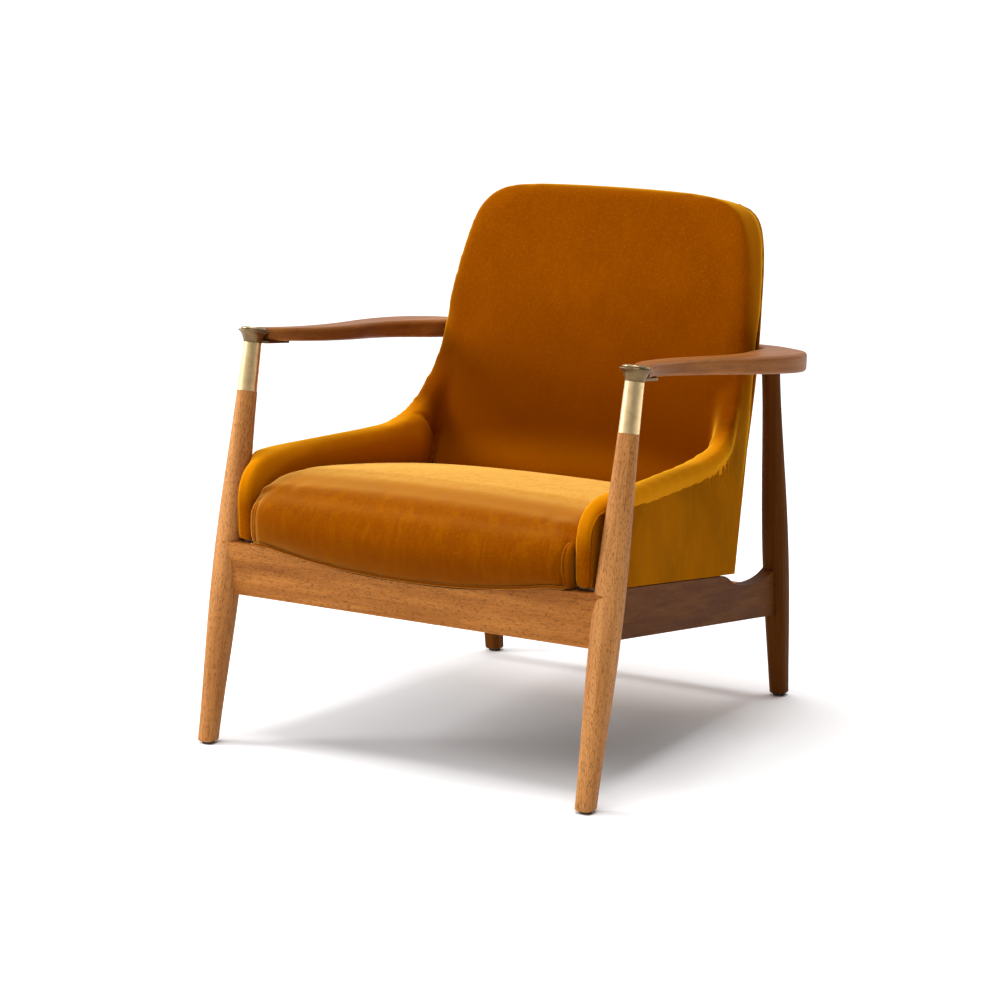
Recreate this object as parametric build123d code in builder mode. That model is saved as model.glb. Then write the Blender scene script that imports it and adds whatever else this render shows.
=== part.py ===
"""Lounge armchair: a turned wooden frame with brass arm sockets that carries an upholstered shell.

Millimetres, +Z up, the front faces -Y, and +X is on the right of someone who looks at the front.
The origin is on the floor, midway between the four feet.
"""

import os
from math import cos, radians, sin, sqrt, tan

from build123d import *

os.makedirs("parts", exist_ok=True)

# ---------------------------------------------------------------- driving dimensions

# Legs: a foot point on the floor, a rake that leans the top, and widths at heights along the leg.
front_leg_x = 323.5
front_foot_y = -345.0
front_rake = 12.2
front_leg_widths = {0: 27, 120: 34, 250: 41, 400: 37, 521: 30}
rear_leg_x = 262.0
rear_foot_y = 345.0
rear_rake = -5.1
rear_leg_widths = {0: 26, 90: 32, 180: 37, 360: 34, 545: 29}
glide_height = 4.0
glide_radius = 9.5
leg_tenon_start = 500.0
foot_chamfer = 1.5

# Brass socket on top of each front leg, as heights along the leg and radii.
sleeve_start = 521.1
sleeve_end = 592.0
sleeve_radius_low = 14.6
sleeve_radius_high = 13.5
cup_top = 610.5
cup_rim_radius = 23.0
cap_radius = 19.5
cap_top = 614.5
bore_radius = 9.0
leg_tenon_end = 561.0
tongue_x = 314.0
tongue_width = 20.0
tongue_thickness = 3.5
tongue_end_y = -150.0

# Arms: a top face and an underside that both slope down to the rear.
arm_top_at_socket = 600.0
arm_top_slope = 0.09
arm_under_at_socket = 581.5
arm_under_slope = 0.113
socket_y = -215.0
arm_edge_radius = 6.0
arm_tenon_radius = 10.0
arm_tenon_height = 541.0

# Rails. The side rails run inwards to the rear and slope down to it.
rail_thickness = 21.0
rail_clearance = 0.3
rail_front_x = 313.0
rail_front_y = -290.0
rail_rear_x = 256.0
rail_rear_y = 322.0
rail_slope = 0.156
rail_top_at_scoop = 237.0
scoop_y = 114.0
rail_height = 72.0
apron_front_y = -303.0
apron_thickness = 22.0
apron_bottom = 219.0
apron_top = 295.0
apron_dip = 21.5
apron_dip_half_width = 240.0
rear_rail_bottom = 132.0
rear_rail_top = 172.0
tenon_thickness = 10.0

# Upholstered shell. The deck plane is the plane of the side rails' top edges.
shell_front_y = -303.0
panel_front_y = -283.0
shell_rear_y = 163.0
back_slope = 0.3025
back_thickness = 60.0
back_length = 561.0
wing_thickness = 30.0
wing_top = 420.0
wing_rear_top = 462.0
wing_rear_foot_y = 90.0
wing_board_drop = 20.0
panel_thickness = 4.0
board_thickness = 10.0
deck_bar_thickness = 18.0
deck_bar_width = 45.0
strap_thickness = 1.5
strap_width = 50.0
seat_front_top = 392.0
seat_rear_top = 358.0
seat_crown = 9.0
back_panel_thickness = 5.0
back_board_thickness = 12.0
gap = 0.4

# ---------------------------------------------------------------- helpers


def save(builder, name):
    """Label a finished piece and write its STEP file."""
    builder.part.label = name
    export_step(builder.part, f"parts/{name}.step")


def save_pair(builder, name):
    """Write a right-hand piece, and the same piece mirrored to the left."""
    save(builder, f"{name}_right")
    with BuildPart() as left:
        add(mirror(builder.part, about=Plane.YZ))
    save(left, f"{name}_left")
    return left


def leg_plane(x, foot_y, rake):
    """A plane on the foot point whose Z axis runs up the leg."""
    lean = radians(rake)
    return Plane(origin=(x, foot_y, 0), x_dir=(1, 0, 0), z_dir=(0, sin(lean), cos(lean)))


def leg_half_plane(x, foot_y, rake):
    """A plane through the leg's axis, with X as the radius and Y up the leg."""
    lean = radians(rake)
    return Plane(origin=(x, foot_y, 0), x_dir=(1, 0, 0), z_dir=(0, -cos(lean), sin(lean)))


def rail_top(y):
    """Height of the side rails' straight top edge, which is also the underside of the shell."""
    return rail_top_at_scoop + rail_slope * (scoop_y - y)


def rail_centre_x(y):
    """Distance of a side rail's centre line from the middle of the chair."""
    return rail_front_x + (rail_rear_x - rail_front_x) * (y - rail_front_y) / (rail_rear_y - rail_front_y)


def back_y(z):
    """Depth of the backrest's rear face at a height."""
    return shell_rear_y + back_slope * (z - rail_top(shell_rear_y))


def sloped_plane(height_at_socket, slope):
    """A plane that faces up and falls to the rear, given its height at the sockets."""
    height = height_at_socket + slope * socket_y
    return Plane(origin=(0, 0, height), x_dir=(1, 0, 0), z_dir=(0, slope, 1))


def dip_points(rise):
    """Points of the long curve in the apron's top edge, raised by a clearance."""
    return [
        (share * apron_dip_half_width, apron_top + rise - depth * apron_dip)
        for share, depth in ((-1, 0), (-0.5, 0.76), (0, 1), (0.5, 0.76), (1, 0))
    ]


front_plane = leg_plane(front_leg_x, front_foot_y, front_rake)
front_half = leg_half_plane(front_leg_x, front_foot_y, front_rake)
front_axis = Axis(front_plane.origin, front_plane.z_dir)
rear_plane = leg_plane(rear_leg_x, rear_foot_y, rear_rake)
arm_top_plane = sloped_plane(arm_top_at_socket, arm_top_slope)
arm_under_plane = sloped_plane(arm_under_at_socket, arm_under_slope)
ground_plane = Plane.XY.offset(glide_height)

# The deck plane has its origin under the shell's rear edge, and Y down the slope to the rear.
deck_plane = Plane(origin=(0, shell_rear_y, rail_top(shell_rear_y)), x_dir=(1, 0, 0), z_dir=(0, rail_slope, 1))
deck_stretch = sqrt(1 + rail_slope**2)

# The back plane has Y up the backrest, and Z out of its front face.
back_plane = Plane(
    origin=(0, shell_rear_y, rail_top(shell_rear_y)), x_dir=(1, 0, 0), z_dir=(0, -1, back_slope)
)


def on_deck(x, y):
    """Deck-plane coordinates of the point of the deck that lies at x and y."""
    return (x, (y - shell_rear_y) * deck_stretch)


# ---------------------------------------------------------------- turned legs


def leg_sections(plane, widths):
    """Soft square sections that turn nearly round towards the top of the leg."""
    last = max(widths)
    sections = []
    for height, width in widths.items():
        roundness = 0.34 + 0.155 * height / last
        with BuildSketch(plane.offset(height)) as section:
            RectangleRounded(width, width, width * roundness)
        sections.append(section.sketch)
    return sections


with BuildPart() as front_leg_blank:
    loft(sections=leg_sections(front_plane, front_leg_widths))
    split(bisect_by=ground_plane, keep=Keep.TOP)
    with BuildSketch(front_plane.offset(leg_tenon_start)):
        Circle(bore_radius)
    extrude(amount=leg_tenon_end - leg_tenon_start)
    chamfer(edges().group_by(Axis.Z)[0], length=foot_chamfer)

with BuildPart() as rear_leg_blank:
    loft(sections=leg_sections(rear_plane, rear_leg_widths))
    split(bisect_by=ground_plane, keep=Keep.TOP)
    split(bisect_by=arm_under_plane, keep=Keep.BOTTOM)
    with BuildSketch(rear_plane.offset(leg_tenon_start)):
        Circle(arm_tenon_radius)
    extrude(amount=arm_tenon_height - leg_tenon_start)
    chamfer(edges().group_by(Axis.Z)[0], length=foot_chamfer)

with BuildPart() as front_leg_blanks:
    add(front_leg_blank.part)
    mirror(about=Plane.YZ)

with BuildPart() as rear_leg_blanks:
    add(rear_leg_blank.part)
    mirror(about=Plane.YZ)

# ---------------------------------------------------------------- rails

# Front apron: its top edge dips in one long curve, and a tenon at each end enters a leg.
apron_middle_y = apron_front_y + apron_thickness / 2
apron_tenon_height = 50.0
apron_tenon_inset = 9.0
with BuildPart() as front_apron:
    with BuildSketch(Plane.XZ.offset(-apron_front_y)):
        with BuildLine():
            dip = Spline(*dip_points(0), tangents=[(1, -0.08), (1, 0.08)])
            Polyline(
                dip @ 1,
                (front_leg_x, apron_top),
                (front_leg_x, apron_bottom),
                (-front_leg_x, apron_bottom),
                (-front_leg_x, apron_top),
                dip @ 0,
            )
        make_face()
    extrude(amount=-apron_thickness)
    add(front_leg_blanks.part, mode=Mode.SUBTRACT)
    with BuildSketch(Plane.XZ.offset(-apron_middle_y)):
        with Locations((0, (apron_bottom + apron_top) / 2)):
            Rectangle(2 * (front_leg_x - apron_tenon_inset), apron_tenon_height)
    extrude(amount=tenon_thickness / 2, both=True)

rail_run = Vector(rail_rear_x - rail_front_x, rail_rear_y - rail_front_y, 0)
rail_plane = Plane(
    origin=(rail_front_x, rail_front_y, 0), x_dir=rail_run, z_dir=(rail_run.Y, -rail_run.X, 0)
)
rail_stretch = rail_run.length / rail_run.Y


def on_rail(y, z):
    """Rail-plane coordinates of the point of the rail that lies at y and z."""
    return ((y - rail_front_y) * rail_stretch, z)


# Side rail: straight under the shell, then a hollow that rises again into the rear leg.
rail_front_end_y = -280.0
rail_rear_end_y = 320.0
with BuildPart() as side_rail_blank:
    with BuildSketch(rail_plane):
        with BuildLine():
            scoop = Spline(
                on_rail(scoop_y, rail_top(scoop_y) - rail_clearance),
                on_rail(scoop_y + 34, 220),
                on_rail(188, 207.5),
                on_rail(240, 201),
                on_rail(rail_rear_end_y, 209),
                tangents=[(1, -0.25), (1, 0.35)],
            )
            Polyline(
                scoop @ 1,
                on_rail(rail_rear_end_y, rail_top(rail_rear_end_y) - rail_height),
                on_rail(rail_front_end_y, rail_top(rail_front_end_y) - rail_height),
                on_rail(rail_front_end_y, rail_top(rail_front_end_y) - rail_clearance),
                scoop @ 0,
            )
        make_face()
    extrude(amount=rail_thickness / 2, both=True)
    add(front_leg_blank.part, mode=Mode.SUBTRACT)
    add(rear_leg_blank.part, mode=Mode.SUBTRACT)
    for tenon_start, tenon_end, tenon_middle in ((-283.0, -262.0, 262.0), (300.0, 321.0, 172.0)):
        with BuildSketch(rail_plane):
            with BuildLine():
                Polyline(
                    on_rail(tenon_start, tenon_middle - 24),
                    on_rail(tenon_end, tenon_middle - 24),
                    on_rail(tenon_end, tenon_middle + 20),
                    on_rail(tenon_start, tenon_middle + 20),
                    close=True,
                )
            make_face()
        extrude(amount=tenon_thickness / 2, both=True)

with BuildPart() as side_rail_blanks:
    add(side_rail_blank.part)
    mirror(about=Plane.YZ)

# Rear rail between the rear legs.
rear_rail_y = 331.0
rear_rail_thickness = 20.0
rear_tenon_height = 28.0
rear_tenon_thickness = 8.0
rear_tenon_inset = 2.0
with BuildPart() as rear_rail:
    with BuildSketch(Plane.XZ.offset(-rear_rail_y)):
        with Locations((0, (rear_rail_bottom + rear_rail_top) / 2)):
            Rectangle(2 * rear_leg_x, rear_rail_top - rear_rail_bottom)
    extrude(amount=rear_rail_thickness / 2, both=True)
    fillet(edges().filter_by(Axis.X), radius=2)
    add(rear_leg_blanks.part, mode=Mode.SUBTRACT)
    with BuildSketch(Plane.XZ.offset(-rear_rail_y)):
        with Locations((0, (rear_rail_bottom + rear_rail_top) / 2)):
            Rectangle(2 * (rear_leg_x - rear_tenon_inset), rear_tenon_height)
    extrude(amount=rear_tenon_thickness / 2, both=True)

# Cross rail under the rear of the shell, with a tenon in each side rail.
cross_rail_y = 95.0
cross_rail_height = 44.0
cross_rail_thickness = 22.0
cross_tenon_inset = 3.0
cross_tenon_shoulder = 8.0
with BuildPart() as cross_rail:
    with BuildSketch(deck_plane):
        with Locations(on_deck(0, cross_rail_y)):
            Rectangle(2 * rail_centre_x(cross_rail_y), cross_rail_thickness)
    extrude(amount=-cross_rail_height)
    add(side_rail_blanks.part, mode=Mode.SUBTRACT)
    with BuildSketch(deck_plane.offset(-cross_tenon_shoulder)):
        with Locations(on_deck(0, cross_rail_y)):
            Rectangle(2 * (rail_centre_x(cross_rail_y) - cross_tenon_inset), tenon_thickness)
    extrude(amount=-(cross_rail_height - 2 * cross_tenon_shoulder))

with BuildPart() as side_rail:
    add(side_rail_blank.part)
    add(cross_rail.part, mode=Mode.SUBTRACT)

# A threaded stud ties the brass cup to the leg's tenon.
stud_radius = 4.0
stud_start = leg_tenon_end - 24
with BuildPart() as cup_studs:
    with BuildSketch(front_plane.offset(stud_start)):
        Circle(stud_radius)
    extrude(amount=sleeve_end + 6 - stud_start)
    mirror(about=Plane.YZ)

with BuildPart() as front_leg:
    add(front_leg_blank.part)
    add(cup_studs.part, mode=Mode.SUBTRACT)
    add(side_rail.part, mode=Mode.SUBTRACT)
    add(front_apron.part, mode=Mode.SUBTRACT)

with BuildPart() as rear_leg:
    add(rear_leg_blank.part)
    add(side_rail.part, mode=Mode.SUBTRACT)
    add(rear_rail.part, mode=Mode.SUBTRACT)

# ---------------------------------------------------------------- brass sockets

with BuildPart() as brass_sleeve:
    with BuildSketch(front_half):
        with BuildLine():
            Polyline(
                (bore_radius, sleeve_start),
                (sleeve_radius_low, sleeve_start),
                (sleeve_radius_high, sleeve_end),
                (bore_radius, sleeve_end),
                close=True,
            )
        make_face()
    revolve(axis=front_axis)

# The cup flares out of the sleeve to a rim; its spigot fills the sleeve's upper bore,
# and its tongue runs back under the arm.
rim_bottom = cup_top - 3.0
with BuildPart() as brass_cup:
    with BuildSketch(front_half):
        with BuildLine():
            flare = Spline(
                (sleeve_radius_high, sleeve_end),
                (sleeve_radius_high + 1.8, sleeve_end + 6),
                (cup_rim_radius - 3.5, rim_bottom - 2),
                tangents=[(0, 1), (1, 0.8)],
            )
            Line(flare @ 1, (cup_rim_radius - 1.5, rim_bottom))
            rim = ThreePointArc(
                (cup_rim_radius - 1.5, rim_bottom),
                (cup_rim_radius, rim_bottom + 1.5),
                (cup_rim_radius - 1.5, cup_top),
            )
            Polyline(
                rim @ 1,
                (0, cup_top),
                (0, sleeve_end - 14),
                (bore_radius, sleeve_end - 14),
                (bore_radius, sleeve_end),
                flare @ 0,
            )
        make_face()
    revolve(axis=front_axis)
    with BuildSketch(arm_under_plane):
        with Locations((tongue_x, (tongue_end_y + socket_y) / 2)):
            RectangleRounded(tongue_width, tongue_end_y - socket_y, tongue_width / 2 - 1)
    extrude(amount=-tongue_thickness)
    add(brass_sleeve.part, mode=Mode.SUBTRACT)

with BuildPart() as brass_cap:
    with BuildSketch(front_half):
        with BuildLine():
            edge = ThreePointArc(
                (cap_radius - 1, cup_top),
                (cap_radius, cup_top + 1.6),
                (cap_radius - 1.4, cap_top - 0.8),
            )
            Polyline(edge @ 1, (cap_radius - 3, cap_top), (0, cap_top), (0, cup_top), edge @ 0)
        make_face()
    revolve(axis=front_axis)

# ---------------------------------------------------------------- arms

# Outline in plan: narrow behind the socket, wide over the rear leg, then a nose behind the backrest.
with BuildPart() as arm_blank:
    with BuildSketch(arm_top_plane):
        with BuildLine():
            outline = Spline(
                (336, -200),
                (322, -158),
                (318, -90),
                (330, 0),
                (347, 75),
                (359, 150),
                (358, 216),
                (336, 270),
                (290, 306),
                (240, 320),
                (219, 309),
                (228, 292),
                (252, 280),
                (276, 240),
                (281, 205),
                (294, 145),
                (297, 80),
                (284, -10),
                (280, -110),
                (292, -165),
                (309, -200),
            )
            Line(outline @ 1, outline @ 0)
        make_face()
    extrude(amount=-40)
    split(bisect_by=arm_under_plane, keep=Keep.TOP)
    long_edges = edges().filter_by(lambda edge: edge.length > 300)
    fillet(long_edges, radius=arm_edge_radius)

tongue_screw_ys = (-182.0, -163.0)
tongue_screw_x = tongue_x - 2.0
tongue_screw_head_radius = 3.6
tongue_screw_length = 13.0
screw_head_depth = 2.4
screw_radius = 1.9
with BuildPart() as tongue_screws:
    for screw_y in tongue_screw_ys:
        with BuildSketch(arm_under_plane.offset(-tongue_thickness)):
            with Locations((tongue_screw_x, screw_y)):
                Circle(tongue_screw_head_radius)
        with BuildSketch(arm_under_plane.offset(screw_head_depth - tongue_thickness)):
            with Locations((tongue_screw_x, screw_y)):
                Circle(screw_radius)
        loft()
        with BuildSketch(arm_under_plane.offset(screw_head_depth - tongue_thickness)):
            with Locations((tongue_screw_x, screw_y)):
                Circle(screw_radius)
        extrude(amount=tongue_screw_length)
    mirror(about=Plane.YZ)

# Two long screws hold the backrest to the noses of the arms, each through a black spacer.
back_screw_x = 240.0
back_screw_z = 541.0
back_screw_radius = 2.5
spacer_radius = 9.0
spacer_end_y = 302.0
screw_head_y = spacer_end_y + 12.0
screw_head_radius = 4.5
screw_head_height = 3.0
back_screw_length = 66.0
with BuildPart() as back_screws:
    with BuildSketch(Plane.XZ.offset(-screw_head_y)):
        with Locations((back_screw_x, back_screw_z)):
            Circle(back_screw_radius)
    extrude(amount=back_screw_length)
    with BuildSketch(Plane.XZ.offset(-screw_head_y)):
        with Locations((back_screw_x, back_screw_z)):
            Circle(screw_head_radius)
    extrude(amount=screw_head_height)
    mirror(about=Plane.YZ)

with BuildPart() as brass_cup_drilled:
    add(brass_cup.part)
    add(cup_studs.part, mode=Mode.SUBTRACT)
    add(tongue_screws.part, mode=Mode.SUBTRACT)

with BuildPart() as arm:
    add(arm_blank.part)
    add(rear_leg_blank.part, mode=Mode.SUBTRACT)
    add(brass_cup.part, mode=Mode.SUBTRACT)
    add(brass_cap.part, mode=Mode.SUBTRACT)
    add(tongue_screws.part, mode=Mode.SUBTRACT)
    add(back_screws.part, mode=Mode.SUBTRACT)
    with BuildSketch(Plane.XZ.offset(-screw_head_y)):
        with Locations((back_screw_x, back_screw_z)):
            Circle(screw_head_radius)
    extrude(amount=-40, mode=Mode.SUBTRACT)

# ---------------------------------------------------------------- upholstered shell

# Outer faces of the shell's sides in plan: between the legs, then out over the side rails.
shell_plan = ((301.0, -303.0), (302.0, -258.0), (313.0, -215.0), (303.0, -110.0), (279.0, 163.0), (270.0, 250.0))


def plan_strip(outer_inset, inner_inset):
    """Corners, in plan, of the strip between two depths inside the right-hand side of the shell."""
    outer = [(x - outer_inset, y) for x, y in shell_plan]
    inner = [(x - inner_inset, y) for x, y in reversed(shell_plan)]
    return outer + inner


def plan_field(inset, front_y):
    """Corners, in plan, of the space between the two sides at a depth inside their outer faces."""
    right = [(x - inset, max(y, front_y)) for x, y in shell_plan[1:]]
    right = [(shell_plan[0][0] - inset, front_y)] + right
    left = [(-x, y) for x, y in reversed(right)]
    return right + left


def above_deck(y, height):
    """A point of the side view at a height above the deck plane."""
    return (y, rail_top(y) + height)


def back_front_y(z, clearance):
    """Depth of the backrest's front face at a height, less a clearance."""
    return back_y(z) - (back_thickness + clearance) * sqrt(1 + back_slope**2)


def wing_outline(drop, front_y, foot):
    """Side view of a wing, lowered by a drop and with its foot at a height above the deck plane."""
    top = wing_top - drop
    rear_top = wing_rear_top - drop
    rear_foot = rail_top(wing_rear_foot_y) + foot
    return [
        above_deck(front_y, foot),
        (front_y, top - 44),
        (front_y + 12, top - 18),
        (front_y + 38, top - 1),
        (60, top - 2),
        (112, top + 4),
        (148, top + 22),
        (back_front_y(rear_top, gap), rear_top),
        (back_front_y(rear_foot, gap), rear_foot),
    ]


# Deck: a frame of four bars, with webbing across it both ways.
front_bar_y = -282.0
deck_inset = panel_thickness + 1.0
rear_bar_end_y = shell_rear_y - 17.0
with BuildPart() as deck_field:
    with BuildSketch(deck_plane):
        with BuildLine():
            Polyline(*[on_deck(x, y) for x, y in plan_field(deck_inset, front_bar_y)], close=True)
        make_face()
    extrude(amount=deck_bar_thickness)

side_bar_run = rear_bar_end_y - deck_bar_width - (front_bar_y + deck_bar_width)
with BuildPart() as deck_front_bar:
    with BuildSketch(deck_plane):
        with Locations(on_deck(0, front_bar_y + deck_bar_width / 2)):
            Rectangle(700, deck_bar_width)
    extrude(amount=deck_bar_thickness)
    add(deck_field.part, mode=Mode.INTERSECT)

with BuildPart() as deck_rear_bar:
    with BuildSketch(deck_plane):
        with Locations(on_deck(0, rear_bar_end_y - deck_bar_width / 2)):
            Rectangle(700, deck_bar_width)
    extrude(amount=deck_bar_thickness)
    add(deck_field.part, mode=Mode.INTERSECT)

with BuildPart() as deck_side_bar:
    with BuildSketch(deck_plane):
        with BuildLine():
            strip = plan_strip(deck_inset, deck_inset + deck_bar_width)
            Polyline(*[on_deck(x, y) for x, y in strip], close=True)
        make_face()
    extrude(amount=deck_bar_thickness)
    with BuildSketch(deck_plane):
        with Locations(on_deck(280, (front_bar_y + rear_bar_end_y) / 2)):
            Rectangle(200, side_bar_run * deck_stretch)
    extrude(amount=deck_bar_thickness, mode=Mode.INTERSECT)

strap_pitch = 78.0
strap_pitch_across = 98.0
strap_length_across = 470.0
strap_length_along = 410.0
with BuildPart() as webbing_crossways:
    with BuildSketch(deck_plane.offset(deck_bar_thickness)):
        with Locations(on_deck(0, (front_bar_y + rear_bar_end_y) / 2)):
            with GridLocations(1, strap_pitch, 1, 4):
                Rectangle(strap_length_across, strap_width)
    extrude(amount=strap_thickness)

with BuildPart() as webbing_lengthways:
    with BuildSketch(deck_plane.offset(deck_bar_thickness + strap_thickness)):
        with Locations(on_deck(0, (front_bar_y + rear_bar_end_y) / 2)):
            with GridLocations(strap_pitch_across, 1, 5, 1):
                Rectangle(strap_width, strap_length_along)
    extrude(amount=strap_thickness)

# Wings: a plywood board under the cover of each side, padded inside, on top and in front.
side_reach = 400.0
with BuildPart() as wing_board:
    with BuildSketch(Plane.YZ):
        with BuildLine():
            Polyline(*wing_outline(wing_board_drop, panel_front_y, deck_bar_thickness + gap), close=True)
        make_face()
    extrude(amount=side_reach)
    with BuildSketch(Plane.XY):
        with BuildLine():
            strip = plan_strip(panel_thickness + gap, panel_thickness + gap + board_thickness)
            Polyline(*strip, close=True)
        make_face()
    extrude(amount=600, mode=Mode.INTERSECT)

with BuildPart() as outside_side_panel:
    with BuildSketch(Plane.YZ):
        with BuildLine():
            Polyline(
                *wing_outline(wing_board_drop, panel_front_y, 0)[:-2],
                (back_y(wing_rear_top - wing_board_drop), wing_rear_top - wing_board_drop),
                above_deck(shell_rear_y, 0),
                close=True,
            )
        make_face()
    extrude(amount=side_reach)
    with BuildSketch(Plane.XY):
        with BuildLine():
            Polyline(*plan_strip(0, panel_thickness), close=True)
        make_face()
    extrude(amount=600, mode=Mode.INTERSECT)

with BuildPart() as wing_pad:
    with BuildSketch(Plane.YZ):
        with BuildLine():
            Polyline(*wing_outline(0, shell_front_y, 0), close=True)
        make_face()
    extrude(amount=side_reach)
    with BuildSketch(Plane.XY):
        with BuildLine():
            Polyline(*plan_strip(0, wing_thickness), close=True)
        make_face()
    extrude(amount=600, mode=Mode.INTERSECT)
    # The pocket for the board and the side panel, and the space over the deck's bars.
    with BuildSketch(Plane.YZ):
        with BuildLine():
            Polyline(*wing_outline(wing_board_drop - gap, panel_front_y - gap, -5), close=True)
        make_face()
    pocket = extrude(amount=side_reach, mode=Mode.PRIVATE)
    with BuildSketch(Plane.XY):
        with BuildLine():
            Polyline(*plan_strip(-5, panel_thickness + board_thickness + 2 * gap), close=True)
        make_face()
    board_space = extrude(amount=600, mode=Mode.PRIVATE)
    add(pocket & board_space, mode=Mode.SUBTRACT)
    with BuildSketch(Plane.YZ):
        with BuildLine():
            Polyline(
                above_deck(panel_front_y - gap, -20),
                above_deck(panel_front_y - gap, deck_bar_thickness + gap),
                above_deck(200, deck_bar_thickness + gap),
                above_deck(200, -20),
                close=True,
            )
        make_face()
    extrude(amount=side_reach, mode=Mode.SUBTRACT)

# Backrest: a board between the front pad and a thin rear panel.
def back_outline(inset, foot):
    """Right-hand half of the backrest's outline on the back plane, from its foot to the top middle."""
    return [
        (274 - inset, foot),
        (269 - inset, 180),
        (266 - inset, 282),
        (258 - inset, 366),
        (246 - inset, 438),
        (226 - inset, 500 - inset / 2),
        (200 - inset, 536 - inset),
        (160 - inset, 554 - inset),
        (100, back_length - 3 - inset),
        (0, back_length - inset),
    ]


def back_face(inset, foot):
    """Closed outline of the backrest on the back plane."""
    right = back_outline(inset, foot)
    left = [(-x, y) for x, y in reversed(right[:-1])]
    return right + left


def back_layer(depth, inset, foot, thickness):
    """A layer of the backrest, from a depth in front of its rear face."""
    with BuildPart() as layer:
        with BuildSketch(back_plane.offset(depth)):
            with BuildLine():
                points = back_face(inset, foot)
                Spline(*points[1:-1])
                Polyline(points[-2], points[-1], points[0], points[1])
            make_face()
        extrude(amount=thickness)
    return layer


pad_start = back_panel_thickness + gap
outside_back_panel_blank = back_layer(0, 2, 0, back_panel_thickness)
back_board_blank = back_layer(pad_start, 18, 24, back_board_thickness)
board_pocket = back_layer(pad_start - 1, 18 - 3 * gap, 10, back_board_thickness + gap + 1)
back_pad_blank = back_layer(pad_start, 0, 0, back_thickness - pad_start)

with BuildPart() as outside_back_panel:
    add(outside_back_panel_blank.part)
    split(bisect_by=deck_plane.offset(0.5), keep=Keep.TOP)

with BuildPart() as back_board:
    add(back_board_blank.part)
    split(bisect_by=deck_plane.offset(deck_bar_thickness + gap), keep=Keep.TOP)
    add(back_screws.part, mode=Mode.SUBTRACT)

with BuildPart() as back_pad:
    add(back_pad_blank.part)
    front_face = faces().sort_by(Axis(back_plane.origin, back_plane.z_dir))[-1]
    fillet(front_face.edges().filter_by(lambda edge: edge.length > 600), radius=20)
    add(board_pocket.part, mode=Mode.SUBTRACT)
    split(bisect_by=deck_plane.offset(deck_bar_thickness + 2 * strap_thickness + gap), keep=Keep.TOP)

with BuildPart() as outside_back_panel_drilled:
    add(outside_back_panel.part)
    add(back_screws.part, mode=Mode.SUBTRACT)

with BuildPart() as back_spacer:
    with BuildSketch(Plane.XZ.offset(-spacer_end_y)):
        with Locations((back_screw_x, back_screw_z)):
            Circle(spacer_radius)
    extrude(amount=60)
    with BuildSketch(back_plane):
        with Locations((0, 300)):
            Rectangle(700, 900)
    extrude(amount=80, mode=Mode.SUBTRACT)
    add(arm_blank.part, mode=Mode.SUBTRACT)
    add(back_screws.part, mode=Mode.SUBTRACT)

# Seat: crowned on top, bulging in front, and cut to the wings and the backrest.
deck_cover = deck_bar_thickness + 2 * strap_thickness + gap
seat_front_foot = -284.0
seat_rear_foot_y = 100.0
seat_side_gap = wing_thickness + 0.8
apron_gap = 3.0
apron_rear_y = apron_front_y + apron_thickness
seat_reach = 520.0
seat_rear_foot = rail_top(seat_rear_foot_y) + deck_cover
with BuildPart() as seat_cushion:
    with BuildSketch(Plane.YZ):
        with BuildLine():
            nose = Spline(
                (seat_front_foot, apron_top - apron_dip + 2),
                (shell_front_y - 4, 300),
                (shell_front_y - 9, 340),
                (shell_front_y + 4, 380),
                (shell_front_y + 42, seat_front_top + 6),
            )
            top = Spline(
                nose @ 1,
                (-130, seat_front_top + seat_crown - 2),
                (20, seat_rear_top + seat_crown + 8),
                (back_front_y(seat_rear_top, gap), seat_rear_top),
            )
            Polyline(
                top @ 1,
                (back_front_y(seat_rear_foot, gap), seat_rear_foot),
                above_deck(seat_front_foot, deck_cover),
                nose @ 0,
            )
        make_face()
    extrude(amount=side_reach, both=True)
    with BuildSketch(Plane.XY):
        with BuildLine():
            Polyline(*plan_field(seat_side_gap, shell_front_y - 20), close=True)
        make_face()
    extrude(amount=600, mode=Mode.INTERSECT)
    with BuildSketch(Plane.XZ):
        with BuildLine():
            lower = Spline(*dip_points(apron_gap), tangents=[(1, -0.08), (1, 0.08)])
            Polyline(
                lower @ 1,
                (300, apron_top + apron_gap),
                (300, 500),
                (-300, 500),
                (-300, apron_top + apron_gap),
                lower @ 0,
            )
        make_face()
    front_view = extrude(amount=400, both=True, mode=Mode.PRIVATE)
    with BuildSketch(Plane.XY.offset(180)):
        with Locations((0, apron_rear_y + gap + seat_reach / 2)):
            Rectangle(2 * side_reach, seat_reach)
    rear_space = extrude(amount=400, mode=Mode.PRIVATE)
    add(front_view + rear_space, mode=Mode.INTERSECT)

# ---------------------------------------------------------------- corner blocks and fasteners

block_reach = 46.0
block_depth = 30.0
block_ys = {"front": rail_front_end_y + 5.0, "rear": cross_rail_y - 12.0}
bolt_radius = 3.0
bolt_spot_inset = 16.0
bolt_head_radius = 5.2
bolt_head_height = 4.0
washer_radius = 8.0
washer_thickness = 1.6
t_nut_barrel_start = 6.0
t_nut_barrel_radius = 4.6
t_nut_flange_radius = 9.0
t_nut_flange = 1.2
dust_cover_thickness = 0.8


def inner_rail_x(y):
    """Distance of a side rail's inner face from the middle of the chair, with a little glue room."""
    return rail_centre_x(y) - rail_thickness / 2 - 0.6


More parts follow.
